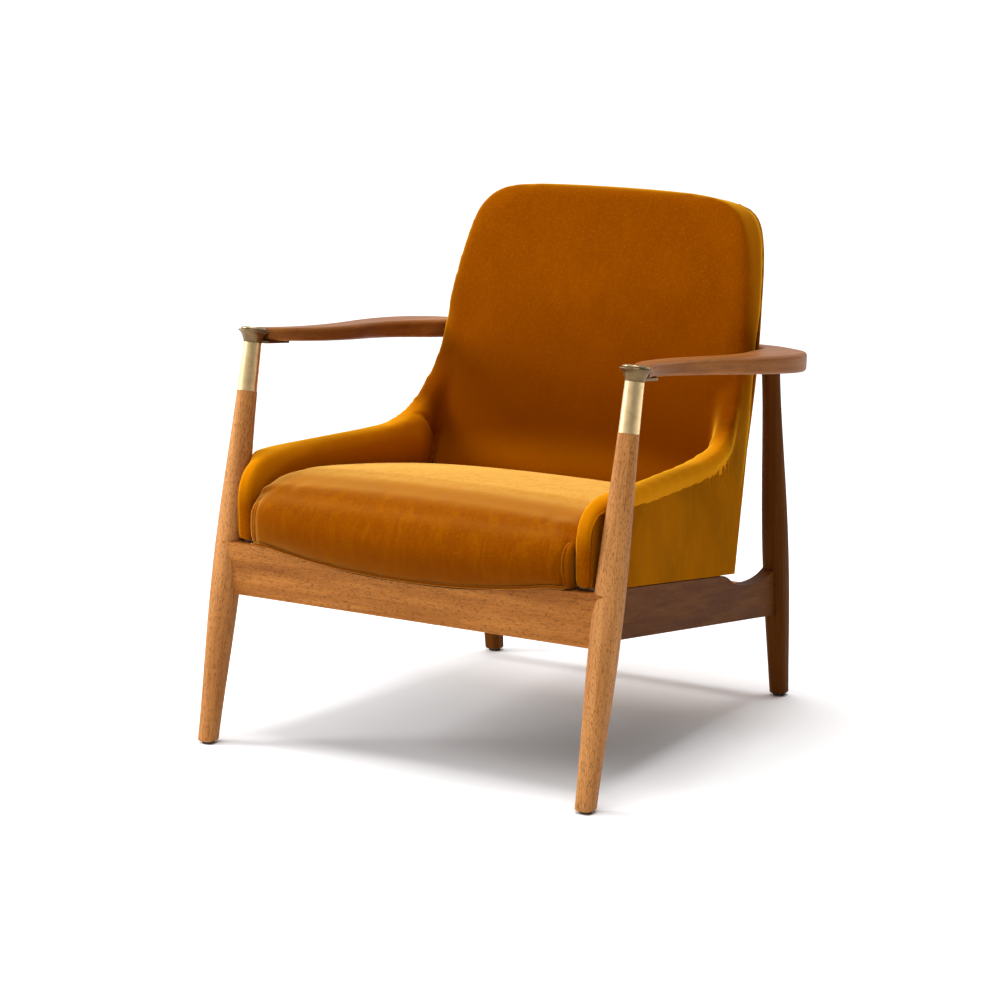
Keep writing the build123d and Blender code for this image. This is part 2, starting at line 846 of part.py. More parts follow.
# Dust cover under the deck, stapled to its bars inside the corner blocks.
dust_front_y = rail_front_end_y + 7.0
dust_rear_y = cross_rail_y - 13.0
with BuildPart() as dust_cover:
    with BuildSketch(deck_plane):
        with BuildLine():
            right = [(inner_rail_x(y) - block_reach - 4, y) for y in (dust_front_y, dust_rear_y)]
            left = [(-x, y) for x, y in reversed(right)]
            Polyline(*[on_deck(x, y) for x, y in right + left], close=True)
        make_face()
    extrude(amount=-dust_cover_thickness)

bolt_spots = {}
blocks = {}
for end, direction in (("front", 1), ("rear", -1)):
    y = block_ys[end]
    far_y = y + direction * block_reach
    corners = [(inner_rail_x(y), y), (inner_rail_x(far_y), far_y), (inner_rail_x(y) - block_reach, y)]
    bolt_spots[end] = on_deck(inner_rail_x(y) - bolt_spot_inset, y + direction * (bolt_spot_inset - 1))
    with BuildPart() as block:
        with BuildSketch(deck_plane.offset(-0.1)):
            with BuildLine():
                Polyline(*[on_deck(*corner) for corner in corners], close=True)
            make_face()
        extrude(amount=-block_depth)
    blocks[end] = block

with BuildPart() as shell_bolts:
    for end in blocks:
        with BuildSketch(deck_plane.offset(-block_depth - 2.0)):
            with Locations(bolt_spots[end]):
                Circle(bolt_radius)
        extrude(amount=block_depth + 2.0 + deck_bar_thickness)
        with BuildSketch(deck_plane.offset(-block_depth - 2.0)):
            with Locations(bolt_spots[end]):
                RegularPolygon(bolt_head_radius, 6)
        extrude(amount=-bolt_head_height)
    mirror(about=Plane.YZ)

with BuildPart() as shell_washers:
    for end in blocks:
        with BuildSketch(deck_plane.offset(-block_depth - 0.2)):
            with Locations(bolt_spots[end]):
                Circle(washer_radius)
                Circle(bolt_radius + 0.2, mode=Mode.SUBTRACT)
        extrude(amount=-washer_thickness)
    mirror(about=Plane.YZ)

with BuildPart() as shell_t_nuts:
    for end in blocks:
        with BuildSketch(deck_plane.offset(t_nut_barrel_start)):
            with Locations(bolt_spots[end]):
                Circle(t_nut_barrel_radius)
                Circle(bolt_radius, mode=Mode.SUBTRACT)
        extrude(amount=deck_bar_thickness - t_nut_barrel_start - t_nut_flange)
        with BuildSketch(deck_plane.offset(deck_bar_thickness - t_nut_flange)):
            with Locations(bolt_spots[end]):
                Circle(t_nut_flange_radius)
                Circle(bolt_radius, mode=Mode.SUBTRACT)
        extrude(amount=t_nut_flange)
    mirror(about=Plane.YZ)

with BuildPart() as corner_block_screws:
    for end, direction in (("front", 1), ("rear", -1)):
        y = block_ys[end] + direction * 30
        screw_plane = Plane(
            origin=(inner_rail_x(y) - 9, y, rail_top(y) - block_depth / 2), x_dir=(0, 1, 0), z_dir=(1, 0, 0)
        )
        with BuildSketch(screw_plane):
            Circle(screw_radius)
        extrude(amount=20)
    mirror(about=Plane.YZ)

for end, block in blocks.items():
    with BuildPart() as drilled:
        add(block.part)
        add(shell_bolts.part, mode=Mode.SUBTRACT)
        add(corner_block_screws.part, mode=Mode.SUBTRACT)
    blocks[end] = drilled


def drilled_for_shell(builder):
    """A deck bar with the bolts and T-nuts cut out of it."""
    with BuildPart() as drilled:
        add(builder.part)
        add(shell_bolts.part, mode=Mode.SUBTRACT)
        add(shell_t_nuts.part, mode=Mode.SUBTRACT)
    return drilled


with BuildPart() as side_rail_drilled:
    add(side_rail.part)
    add(corner_block_screws.part, mode=Mode.SUBTRACT)

# Glides under the feet, each held by a nail up the middle of its leg.
glide_spots = {
    "front": (front_leg_x, front_foot_y + glide_height * tan(radians(front_rake))),
    "rear": (rear_leg_x, rear_foot_y + glide_height * tan(radians(rear_rake))),
}
nail_radius = 1.2
with BuildPart() as glide_nails:
    for x, y in glide_spots.values():
        with BuildSketch(Plane.XY.offset(1)):
            with Locations((x, y)):
                Circle(nail_radius)
        extrude(amount=glide_height + 16)
    mirror(about=Plane.YZ)

glides = {}
for end, spot in glide_spots.items():
    with BuildPart() as glide:
        with BuildSketch(Plane.XY):
            with Locations(spot):
                Circle(glide_radius)
        extrude(amount=glide_height)
        fillet(edges().group_by(Axis.Z)[0], radius=1)
        add(glide_nails.part, mode=Mode.SUBTRACT)
    glides[end] = glide


def nailed(builder):
    """A leg with its glide's nail cut out of it."""
    with BuildPart() as leg:
        add(builder.part)
        add(glide_nails.part, mode=Mode.SUBTRACT)
    return leg


# ---------------------------------------------------------------- export

singles = {
    "front_apron": front_apron,
    "rear_rail": rear_rail,
    "cross_rail": cross_rail,
    "cup_studs": cup_studs,
    "tongue_screws": tongue_screws,
    "back_screws": back_screws,
    "deck_front_bar": drilled_for_shell(deck_front_bar),
    "deck_rear_bar": drilled_for_shell(deck_rear_bar),
    "webbing_crossways": webbing_crossways,
    "webbing_lengthways": webbing_lengthways,
    "outside_back_panel": outside_back_panel_drilled,
    "back_board": back_board,
    "back_pad": back_pad,
    "seat_cushion": seat_cushion,
    "dust_cover": dust_cover,
    "shell_bolts": shell_bolts,
    "shell_washers": shell_washers,
    "shell_t_nuts": shell_t_nuts,
    "corner_block_screws": corner_block_screws,
    "glide_nails": glide_nails,
}
for name, builder in singles.items():
    save(builder, name)

pairs = {
    "front_leg": nailed(front_leg),
    "rear_leg": nailed(rear_leg),
    "side_rail": side_rail_drilled,
    "brass_sleeve": brass_sleeve,
    "brass_cup": brass_cup_drilled,
    "brass_cap": brass_cap,
    "arm": arm,
    "deck_side_bar": drilled_for_shell(deck_side_bar),
    "wing_board": wing_board,
    "wing_pad": wing_pad,
    "outside_side_panel": outside_side_panel,
    "back_spacer": back_spacer,
    "corner_block_front": blocks["front"],
    "corner_block_rear": blocks["rear"],
    "glide_front": glides["front"],
    "glide_rear": glides["rear"],
}
for name, builder in pairs.items():
    save_pair(builder, name)
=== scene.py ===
"""A lounge armchair: a turned wooden frame with brass arm sockets and a velvet shell.

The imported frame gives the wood, the brass and the fasteners. This script upholsters the shell,
and gives every piece its finish, in metres and in the frame's own axes.
"""

import logging
import math
from dataclasses import dataclass, field
from enum import Enum
from functools import cached_property
from typing import Callable, Iterable, Sequence

import bpy
from mathutils import Matrix, Vector, noise


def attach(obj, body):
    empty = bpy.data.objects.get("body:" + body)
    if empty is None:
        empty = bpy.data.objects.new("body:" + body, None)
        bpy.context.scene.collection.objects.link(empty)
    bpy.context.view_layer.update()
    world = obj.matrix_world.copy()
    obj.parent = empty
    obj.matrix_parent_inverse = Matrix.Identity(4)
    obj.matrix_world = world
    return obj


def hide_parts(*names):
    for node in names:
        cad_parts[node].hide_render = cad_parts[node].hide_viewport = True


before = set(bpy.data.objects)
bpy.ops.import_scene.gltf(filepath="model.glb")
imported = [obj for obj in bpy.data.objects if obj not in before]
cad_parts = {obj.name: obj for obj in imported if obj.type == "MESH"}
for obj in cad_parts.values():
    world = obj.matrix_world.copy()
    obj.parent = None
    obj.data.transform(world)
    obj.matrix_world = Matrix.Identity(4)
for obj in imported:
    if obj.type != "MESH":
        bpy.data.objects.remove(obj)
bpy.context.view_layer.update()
LOG = logging.getLogger("armchair")

CAP_CORNERS = 8  # a face with more corners is the flat cap of a slab
CREASE_ANGLE = 50.0  # degrees; sharper edges stay sharp when a piece is shaded smoothly
CORNER_ANGLE = 55.0  # degrees; sharper edges of a closed sheet are rounded
SEAM_REACH = 0.02  # metres from a seam within which the surface is pressed in
SEAM_SOFTNESS = 0.0055  # metres over which a pressed seam fades

Point2 = tuple[float, float]
Point3 = tuple[float, float, float]
Colour = tuple[float, float, float]
Number = "Value | float"


# --------------------------------------------------------------------------- shader arithmetic


class Value:
    """An output socket that can be used in arithmetic."""

    def __init__(self, graph: "Graph", socket: bpy.types.NodeSocket) -> None:
        """Wrap a socket.

        Args:
            graph: The graph that the socket belongs to.
            socket: The output socket.
        """
        self.graph = graph
        self.socket = socket

    def __add__(self, other: Number) -> "Value":
        """Add a number or a value."""
        return self.graph.math("ADD", self, other)

    __radd__ = __add__

    def __sub__(self, other: Number) -> "Value":
        """Subtract a number or a value."""
        return self.graph.math("SUBTRACT", self, other)

    def __rsub__(self, other: Number) -> "Value":
        """Subtract this value from a number."""
        return self.graph.math("SUBTRACT", other, self)

    def __mul__(self, other: Number) -> "Value":
        """Multiply by a number or a value."""
        return self.graph.math("MULTIPLY", self, other)

    __rmul__ = __mul__

    def __pow__(self, other: Number) -> "Value":
        """Raise to a power."""
        return self.graph.math("POWER", self, other)

    def step(self, low: float, high: float) -> "Value":
        """Rise smoothly from 0 to 1 between two levels, or fall where the first is the higher.

        Args:
            low: The level that gives 0.
            high: The level that gives 1.

        Returns:
            The smoothed value.
        """
        settings = {"interpolation_type": "SMOOTHSTEP"}
        if low < high:
            return self.graph.node("ShaderNodeMapRange", settings, {0: self, 1: low, 2: high})
        return self.graph.node("ShaderNodeMapRange", settings, {0: self, 1: high, 2: low, 3: 1.0, 4: 0.0})


class Graph:
    """The node tree of one material, with a Principled shader at its end."""

    def __init__(self, name: str) -> None:
        """Make an empty material.

        Args:
            name: The material's name.
        """
        self.material = bpy.data.materials.new(name)
        self.material.use_nodes = True
        self.tree = self.material.node_tree
        self.tree.nodes.clear()
        self.shader = self.tree.nodes.new("ShaderNodeBsdfPrincipled")
        output = self.tree.nodes.new("ShaderNodeOutputMaterial")
        self.tree.links.new(self.shader.outputs["BSDF"], output.inputs["Surface"])

    def node(self, kind: str, settings: dict, inputs: dict, output: int | str = 0) -> Value:
        """Add a node.

        Args:
            kind: The node's type.
            settings: Its settings; "stops" are a colour ramp's (place, colour) pairs.
            inputs: Values or links by socket name or number.
            output: The output socket that is returned.

        Returns:
            The chosen output.
        """
        made = self.tree.nodes.new(kind)
        for key, setting in settings.items():
            if key == "stops":
                self._set_stops(made, setting)
            else:
                setattr(made, key, setting)
        for key, given in inputs.items():
            if isinstance(given, Value):
                self.tree.links.new(given.socket, made.inputs[key])
            else:
                made.inputs[key].default_value = given
        return Value(self, made.outputs[output])

    @staticmethod
    def _set_stops(made: bpy.types.Node, stops: Sequence[tuple[float, Colour]]) -> None:
        """Give a colour ramp its stops."""
        elements = made.color_ramp.elements
        while len(elements) < len(stops):
            elements.new(1.0)
        for element, (place, colour) in zip(elements, stops):
            element.position = place
            element.color = (*colour, 1.0)

    def math(self, operation: str, *operands: Number) -> Value:
        """Add a Math node.

        Args:
            operation: The node's operation.
            operands: Numbers or values.

        Returns:
            The result.
        """
        return self.node("ShaderNodeMath", {"operation": operation}, dict(enumerate(operands)))

    def place(self, turn: Point3 = (0, 0, 0), scale: Point3 = (1, 1, 1)) -> Value:
        """The object's own coordinates, turned and then stretched.

        Args:
            turn: Euler angles in degrees.
            scale: The stretch along each turned axis.

        Returns:
            A vector.
        """
        own = self.node("ShaderNodeTexCoord", {}, {}, "Object")
        angles = tuple(math.radians(angle) for angle in turn)
        turned = self.node("ShaderNodeMapping", {"vector_type": "POINT"}, {"Vector": own, "Rotation": angles})
        return self.node("ShaderNodeMapping", {"vector_type": "POINT"}, {"Vector": turned, "Scale": scale})

    def noise(self, vector: Value, scale: float, detail: float = 2.0, warp: float = 0.0) -> Value:
        """Noise between 0 and 1 around 0.5.

        Args:
            vector: Where it is read.
            scale: How many features it has per unit.
            detail: Its octaves.
            warp: Its distortion.

        Returns:
            The noise.
        """
        inputs = {"Vector": vector, "Scale": scale, "Detail": detail, "Distortion": warp}
        return self.node("ShaderNodeTexNoise", {}, inputs, "Fac")

    def blend(self, factor: Number, first: Value | Colour, second: Value | Colour) -> Value:
        """Mix two colours.

        Args:
            factor: The share of the second colour.
            first: The first colour.
            second: The second colour.

        Returns:
            The mixed colour.
        """
        colours = {
            key: given if isinstance(given, Value) else (*given, 1.0)
            for key, given in ((6, first), (7, second))
        }
        settings = {"data_type": "RGBA", "blend_type": "MIX"}
        return self.node("ShaderNodeMix", settings, {0: factor, **colours}, 2)

    def bump(self, height: Value, distance: float, strength: float = 1.0) -> None:
        """Send a height to the shader's normal.

        Args:
            height: The height, as a share of the distance.
            distance: The depth of relief in metres.
            strength: How much of it shows.
        """
        inputs = {"Height": height, "Distance": distance, "Strength": strength}
        normal = self.node("ShaderNodeBump", {}, inputs)
        self.tree.links.new(normal.socket, self.shader.inputs["Normal"])

    def paint_grazing_sheen(self, colour: Value, power: float, share: float) -> None:
        """Paint a sheen: let a lighter shader cover this one where the surface is seen from the side.

        Args:
            colour: The colour of the painted sheen.
            power: How close to the edge of sight the painted sheen starts.
            share: How much it covers at the edge.
        """
        facing = self.node("ShaderNodeLayerWeight", {}, {"Blend": 0.5}, "Facing")
        painted_sheen_tips = self.tree.nodes.new("ShaderNodeBsdfPrincipled")
        painted_sheen_tips.inputs["Roughness"].default_value = 0.9
        painted_sheen_tips.inputs["Specular IOR Level"].default_value = 0.0
        self.tree.links.new(colour.socket, painted_sheen_tips.inputs["Base Color"])
        mixed = self.tree.nodes.new("ShaderNodeMixShader")
        self.tree.links.new((facing ** power * share).socket, mixed.inputs[0])
        self.tree.links.new(self.shader.outputs["BSDF"], mixed.inputs[1])
        self.tree.links.new(painted_sheen_tips.outputs["BSDF"], mixed.inputs[2])
        self.tree.links.new(mixed.outputs[0], self.tree.nodes["Material Output"].inputs["Surface"])

    def finish(self, **inputs: Value | float | Colour) -> bpy.types.Material:
        """Set the shader's sockets, with underscores for the spaces in their names.

        Args:
            inputs: Values, links or colours.

        Returns:
            The finished material.
        """
        for key, given in inputs.items():
            socket = self.shader.inputs[key.replace("_", " ")]
            if isinstance(given, Value):
                self.tree.links.new(given.socket, socket)
            elif isinstance(given, tuple):
                socket.default_value = (*given, 1.0)
            else:
                socket.default_value = given
        return self.material


# --------------------------------------------------------------------------- finishes


class Grain(Enum):
    """The direction that a wooden piece's grain runs in, as the turn that brings it to Z."""

    ALONG_FRONT_LEG = (12.2, 0.0, 0.0)
    ALONG_REAR_LEG = (-5.1, 0.0, 0.0)
    ACROSS = (0.0, 90.0, 0.0)
    ALONG_RAIL = (98.9, 0.0, 0.0)
    ALONG_ARM = (95.1, 0.0, 0.0)


@dataclass(frozen=True)
class Wood:
    """Oiled hardwood with open pores."""

    name: str
    grain: Grain
    light: Colour = (0.52, 0.195, 0.038)
    dark: Colour = (0.290, 0.088, 0.012)
    pore: Colour = (0.080, 0.026, 0.006)
    pore_share: float = 1.0
    roughness: float = 0.46
    coat: float = 0.02
    gloss: float = 0.14

    def material(self) -> bpy.types.Material:
        """Build the material.

        Returns:
            Wood whose figure runs along the grain.
        """
        graph = Graph(self.name)
        turn = self.grain.value
        broad = graph.noise(graph.place(turn, (26, 26, 2.2)), 1.0, 4.0, 0.9)
        bands = graph.noise(graph.place(turn, (120, 120, 5.0)), 1.0, 5.0, 0.6)
        fibre = graph.noise(graph.place(turn, (700, 700, 26)), 1.0, 2.0)
        flecks = graph.noise(graph.place(turn, (760, 760, 190)), 1.0, 1.0)
        long_pores = graph.noise(graph.place(turn, (520, 520, 60)), 1.0, 1.0)
        figure = broad * 0.55 + bands * 0.45
        tone = graph.node("ShaderNodeValToRGB", {"stops": (
            (0.34, self.dark),
            (0.50, tuple(0.5 * (low + high) for low, high in zip(self.dark, self.light))),
            (0.64, self.light),
        )}, {0: figure}, "Color")
        fibred = graph.blend(fibre.step(0.35, 0.75) * 0.22, tone, self.dark)
        pores = flecks.step(0.52, 0.72) * 0.60 * self.pore_share
        veins = long_pores.step(0.60, 0.74) * 0.45 * self.pore_share
        open_pores = graph.math("MAXIMUM", pores, veins)
        colour = graph.blend(open_pores, fibred, self.pore)
        graph.bump(0.35 * fibre + 0.25 * bands - 1.0 * open_pores, 0.00035, 0.55)
        rough = self.roughness + 0.12 * fibre + 0.15 * open_pores
        return graph.finish(
            Base_Color=colour, Roughness=rough, Coat_Weight=self.coat, Coat_Roughness=0.3,
            Specular_IOR_Level=self.gloss, Specular_Tint=(1.0, 0.78, 0.55)
        )


@dataclass(frozen=True)
class RawBoard:
    """Pale unfinished wood and plywood inside the shell."""

    name: str = "raw_board"
    light: Colour = (0.62, 0.44, 0.25)
    dark: Colour = (0.42, 0.27, 0.13)

    def material(self) -> bpy.types.Material:
        """Build the material.

        Returns:
            Pale wood with a coarse grain.
        """
        graph = Graph(self.name)
        bands = graph.noise(graph.place((0, 90, 0), (60, 60, 3)), 1.0, 5.0, 1.2)
        fibre = graph.noise(graph.place((0, 90, 0), (500, 500, 20)), 1.0)
        colour = graph.blend(bands.step(0.3, 0.7), self.dark, self.light)
        graph.bump(fibre, 0.0003, 0.6)
        return graph.finish(Base_Color=colour, Roughness=0.65 + 0.15 * fibre)


@dataclass(frozen=True)
class Brass:
    """Satin brass with an antique bloom."""

    name: str = "satin_brass"
    bright: Colour = (0.90, 0.66, 0.34)
    dull: Colour = (0.58, 0.40, 0.18)
    roughness: float = 0.27

    def material(self) -> bpy.types.Material:
        """Build the material.

        Returns:
            Brushed, slightly clouded brass.
        """
        graph = Graph(self.name)
        clouds = graph.noise(graph.place(scale=(55, 55, 55)), 1.0, 4.0, 0.5)
        brushed = graph.noise(graph.place((12.2, 0, 0), (260, 260, 2600)), 1.0, 2.0)
        colour = graph.blend(clouds.step(0.42, 0.78) * 0.6, self.bright, self.dull)
        graph.bump(brushed, 0.00006, 0.5)
        return graph.finish(Base_Color=colour, Metallic=1.0, Roughness=self.roughness + 0.16 * clouds)


@dataclass(frozen=True)
class Steel:
    """Zinc-plated steel of the fasteners."""

    name: str = "plated_steel"

    def material(self) -> bpy.types.Material:
        """Build the material.

        Returns:
            Steel with faint crystal clouds.
        """
        graph = Graph(self.name)
        clouds = graph.noise(graph.place(scale=(400, 400, 400)), 1.0, 3.0)
        colour = graph.blend(clouds, (0.46, 0.47, 0.49), (0.66, 0.66, 0.64))
        graph.bump(clouds, 0.00004, 0.5)
        return graph.finish(Base_Color=colour, Metallic=1.0, Roughness=0.28 + 0.2 * clouds)


@dataclass(frozen=True)
class BlackPlastic:
    """Moulded black plastic of the glides and spacers."""

    name: str = "black_plastic"

    def material(self) -> bpy.types.Material:
        """Build the material.

        Returns:
            Matt plastic with a fine spark texture.
        """
        graph = Graph(self.name)
        grit = graph.noise(graph.place(scale=(1800, 1800, 1800)), 1.0, 2.0)
        scuffs = graph.noise(graph.place(scale=(90, 90, 90)), 1.0, 4.0, 1.0)
        colour = graph.blend(scuffs.step(0.55, 0.8) * 0.5, (0.012, 0.012, 0.013), (0.05, 0.048, 0.045))
        graph.bump(grit, 0.00008, 0.6)
        return graph.finish(Base_Color=colour, Roughness=0.5 + 0.2 * grit)


@dataclass(frozen=True)
class Cloth:
    """Plain woven cloth, such as webbing or a dust cover."""

    name: str
    warp_colour: Colour
    weft_colour: Colour
    threads: float

    def material(self) -> bpy.types.Material:
        """Build the material.

        Returns:
            A cloth with crossing threads.
        """
        graph = Graph(self.name)
        across, along = (
            graph.node(
                "ShaderNodeTexWave", {"bands_direction": way},
                {"Vector": graph.place(scale=(self.threads,) * 3), "Scale": 1.0}, "Fac",
            )
            for way in "XY"
        )
        dust = graph.noise(graph.place(scale=(30, 30, 30)), 1.0, 3.0)
        colour = graph.blend(across, self.warp_colour, self.weft_colour)
        soft = graph.blend(dust * 0.3, colour, tuple(1.6 * part for part in self.weft_colour))
        graph.bump(across * along, 0.0003, 0.7)
        return graph.finish(Base_Color=soft, Roughness=0.9, Sheen_Weight=0.2)


class Pile(Enum):
    """How the velvet's pile lies on a piece: how much it is mottled, and how much it is streaked."""

    SMOOTH = (0.35, 0.06)
    SAT_ON = (0.25, 0.30)
    BRUSHED_UP = (0.90, 0.30)


@dataclass(frozen=True)
class PaintedShadingZone:
    """A stretch of a cover with painted shade or painted light, faded in over depths and over heights."""

    depths: Point2
    heights: Point2
    share: float

    def mask(self, graph: Graph) -> Value:
        """How far the zone reaches at a point, from 0 to its share."""
        own = graph.place()
        depth = graph.node("ShaderNodeSeparateXYZ", {}, {0: own}, "Y")
        height = graph.node("ShaderNodeSeparateXYZ", {}, {0: own}, "Z")
        return depth.step(*self.depths) * height.step(*self.heights) * self.share


@dataclass(frozen=True)
class Velvet:
    """Amber cut-pile velvet, with seams drawn from each piece's own seam distance."""

    name: str
    pile: Pile = Pile.SMOOTH
    deep: Colour = (0.140, 0.026, 0.0001)
    mid: Colour = (0.255, 0.056, 0.0002)
    pale: Colour = (0.48, 0.155, 0.001)
    # Colour of the painted sheen where the velvet is seen from the side.
    painted_sheen_tips: Colour = (0.92, 0.53, 0.115)
    sheen: Colour = (1.0, 0.44, 0.01)
    # Colour of the painted light in a lit zone.
    painted_light_colour: Colour = (0.62, 0.200, 0.001)
    # Painted shade, darkened to the deep colour, and painted light, lightened to the colour above, each over
    # a zone.
    painted_shade_zone: PaintedShadingZone | None = None
    painted_light_zone: PaintedShadingZone | None = None
    seam_width: float = 0.0011

    def material(self) -> bpy.types.Material:
        """Build the material.

        Returns:
            Velvet that brightens where it is seen from the side by a painted sheen, with painted shade and
            painted light in its zones.
        """
        graph = Graph(self.name)
        clouds = graph.noise(graph.place(scale=(7, 7, 7)), 1.0, 3.0, 0.8)
        strokes = graph.noise(graph.place((0, 0, 0), (62, 44, 15)), 1.0, 4.0, 1.1)
        flecks = graph.noise(graph.place(scale=(430, 430, 430)), 1.0, 2.0)
        speck = graph.noise(graph.place(scale=(1500, 1500, 1500)), 1.0, 1.0)
        mottled, brushed = self.pile.value
        tone = graph.blend(clouds.step(0.30, 0.70) * mottled, self.mid, self.deep)
        tone = graph.blend(strokes.step(0.38, 0.80) * brushed, tone, self.pale)
        tone = graph.blend(flecks.step(0.45, 0.80) * 0.30, tone, self.pale)
        tone = graph.blend(speck.step(0.50, 0.80) * 0.35, tone, self.deep)
        # Painted shade and painted light, each over its zone.
        if self.painted_shade_zone:
            tone = graph.blend(self.painted_shade_zone.mask(graph), tone, self.deep)
        if self.painted_light_zone:
            tone = graph.blend(self.painted_light_zone.mask(graph), tone, self.painted_light_colour)
        seam = graph.node("ShaderNodeAttribute", {"attribute_name": "seam_distance"}, {}, "Fac")
        stitch = seam.step(self.seam_width * 1.6, self.seam_width * 0.4)
        shoulder = seam.step(self.seam_width * 6, self.seam_width)
        tone = graph.blend(stitch * 0.75, tone, tuple(0.25 * part for part in self.deep))
        puckers = graph.noise(graph.place(scale=(95, 95, 95)), 1.0, 1.0)
        # Painted sheen: a lighter colour that covers the velvet where it is seen from the side.
        lit = graph.blend(flecks.step(0.35, 0.75) * 0.30, self.painted_sheen_tips, self.pale)
        graph.paint_grazing_sheen(graph.blend(strokes.step(0.40, 0.72) * brushed, lit, self.pale), 3.0, 0.95)
        pile = 0.20 * flecks + 0.10 * speck + 0.12 * strokes
        relief = pile - 1.2 * stitch - shoulder * (0.6 + 0.9 * puckers)
        graph.bump(relief, 0.0011, 0.55)
        return graph.finish(
            Base_Color=tone,
            Roughness=0.78 + 0.12 * flecks,
            Specular_IOR_Level=0.0,
            Sheen_Weight=0.4,
            Sheen_Roughness=0.28,
            Sheen_Tint=self.sheen,
        )


# --------------------------------------------------------------------------- modelling helpers


def pick_only(piece: bpy.types.Object) -> None:
    """Leave object mode with this piece alone selected and active."""
    if bpy.context.mode != "OBJECT":
        bpy.ops.object.mode_set(mode="OBJECT")
    bpy.ops.object.select_all(action="DESELECT")
    piece.select_set(True)
    bpy.context.view_layer.objects.active = piece


def add_modifier(piece: bpy.types.Object, kind: str, **settings: object) -> None:
    """Add a modifier and apply it.

    Args:
        piece: The piece.
        kind: The modifier's type.
        settings: Its settings.
    """
    pick_only(piece)
    modifier = piece.modifiers.new(kind.lower(), kind)
    for key, setting in settings.items():
        setattr(modifier, key, setting)
    bpy.ops.object.modifier_apply(modifier=modifier.name)


def remesh(piece: bpy.types.Object, voxel: float) -> None:
    """Rebuild a piece's surface from voxels of a size in metres."""
    pick_only(piece)
    piece.data.remesh_voxel_size = voxel
    piece.data.use_remesh_preserve_volume = True
    bpy.ops.object.voxel_remesh()


def smooth_through(points: Sequence[Point2], steps: int = 6) -> list[Point2]:
    """Run a smooth curve through points, ending on the last one.

    Args:
        points: The points that the curve passes.
        steps: Sub-points per span.

    Returns:
        The curve's points.
    """
    padded = [points[0], *points, points[-1]]
    curve: list[Point2] = []
    for before, start, end, after in zip(padded, padded[1:], padded[2:], padded[3:]):
        for index in range(steps):
            share = index / steps
            weights = (
                -0.5 * share + share**2 - 0.5 * share**3,
                1 - 2.5 * share**2 + 1.5 * share**3,
                0.5 * share + 2 * share**2 - 1.5 * share**3,
                -0.5 * share**2 + 0.5 * share**3,
            )
            curve.append(tuple(
                sum(weight * point[axis] for weight, point in zip(weights, (before, start, end, after)))
                for axis in (0, 1)
            ))
    curve.append(points[-1])
    return curve


def read_curve(curve: Sequence[Point2], place: float) -> float:
    """Read a rising table of (place, value) pairs between its points."""
    if place <= curve[0][0]:
        return curve[0][1]
    for (low, low_value), (high, high_value) in zip(curve, curve[1:]):
        if place <= high:
            share = (place - low) / max(high - low, 1e-9)
            return low_value + share * (high_value - low_value)
    return curve[-1][1]


def hump(place: float, middle: float, reach: float) -> float:
    """A smooth hump of height 1 at its middle, which fades over a reach."""
    return math.exp(-(((place - middle) / reach) ** 2))


def smoothstep(low: float, high: float, place: float) -> float:
    """Rise smoothly from 0 to 1 between two places."""
    share = min(max((place - low) / (high - low), 0.0), 1.0)
    return share * share * (3 - 2 * share)


def slab(name: str, outline: Sequence[Point2], place: Matrix, thickness: float) -> bpy.types.Object:
    """Extrude a flat outline.

    Args:
        name: The new piece's name.
        outline: The outline's points on its own plane.
        place: Carries the plane's X, Y and Z into the frame.
        thickness: How far it is extruded along the plane's Z.

    Returns:
        A closed slab.
    """
    bpy.ops.object.select_all(action="DESELECT")
    bpy.ops.mesh.primitive_circle_add(vertices=len(outline), radius=1.0, fill_type="NGON")
    piece = bpy.context.active_object
    piece.name = name
    for vertex, (across, up) in zip(piece.data.vertices, outline):
        vertex.co = place @ Vector((across, up, 0.0))
    move = place.to_3x3() @ Vector((0.0, 0.0, thickness))
    bpy.ops.object.mode_set(mode="EDIT")
    bpy.ops.mesh.select_all(action="SELECT")
    bpy.ops.mesh.extrude_region_move(TRANSFORM_OT_translate={"value": move})
    bpy.ops.mesh.select_all(action="SELECT")
    bpy.ops.mesh.normals_make_consistent(inside=False)
    bpy.ops.object.mode_set(mode="OBJECT")
    return piece


def round_rim(
    piece: bpy.types.Object, chosen: Callable[[Vector], bool], radius: float, segments: int = 5
) -> None:
    """Bevel the sharp edges whose two ends are chosen.

    Args:
        piece: The piece.
        chosen: Says whether a point lies on the rim.
        radius: The width of the bevel in metres.
        segments: Its number of faces.
    """
    pick_only(piece)
    bpy.ops.object.mode_set(mode="EDIT")
    bpy.ops.mesh.select_mode(type="EDGE")
    bpy.ops.mesh.select_all(action="DESELECT")
    bpy.ops.object.mode_set(mode="OBJECT")
    mesh = piece.data
    caps = {edge for face in mesh.polygons if len(face.vertices) > CAP_CORNERS for edge in face.edge_keys}
    for edge in mesh.edges:
        ends = [mesh.vertices[index].co for index in edge.vertices]
        edge.select = edge.key in caps and all(chosen(end) for end in ends)
    bpy.ops.object.mode_set(mode="EDIT")
    bpy.ops.mesh.bevel(offset=radius, segments=segments, affect="EDGES", clamp_overlap=True)
    bpy.ops.object.mode_set(mode="OBJECT")


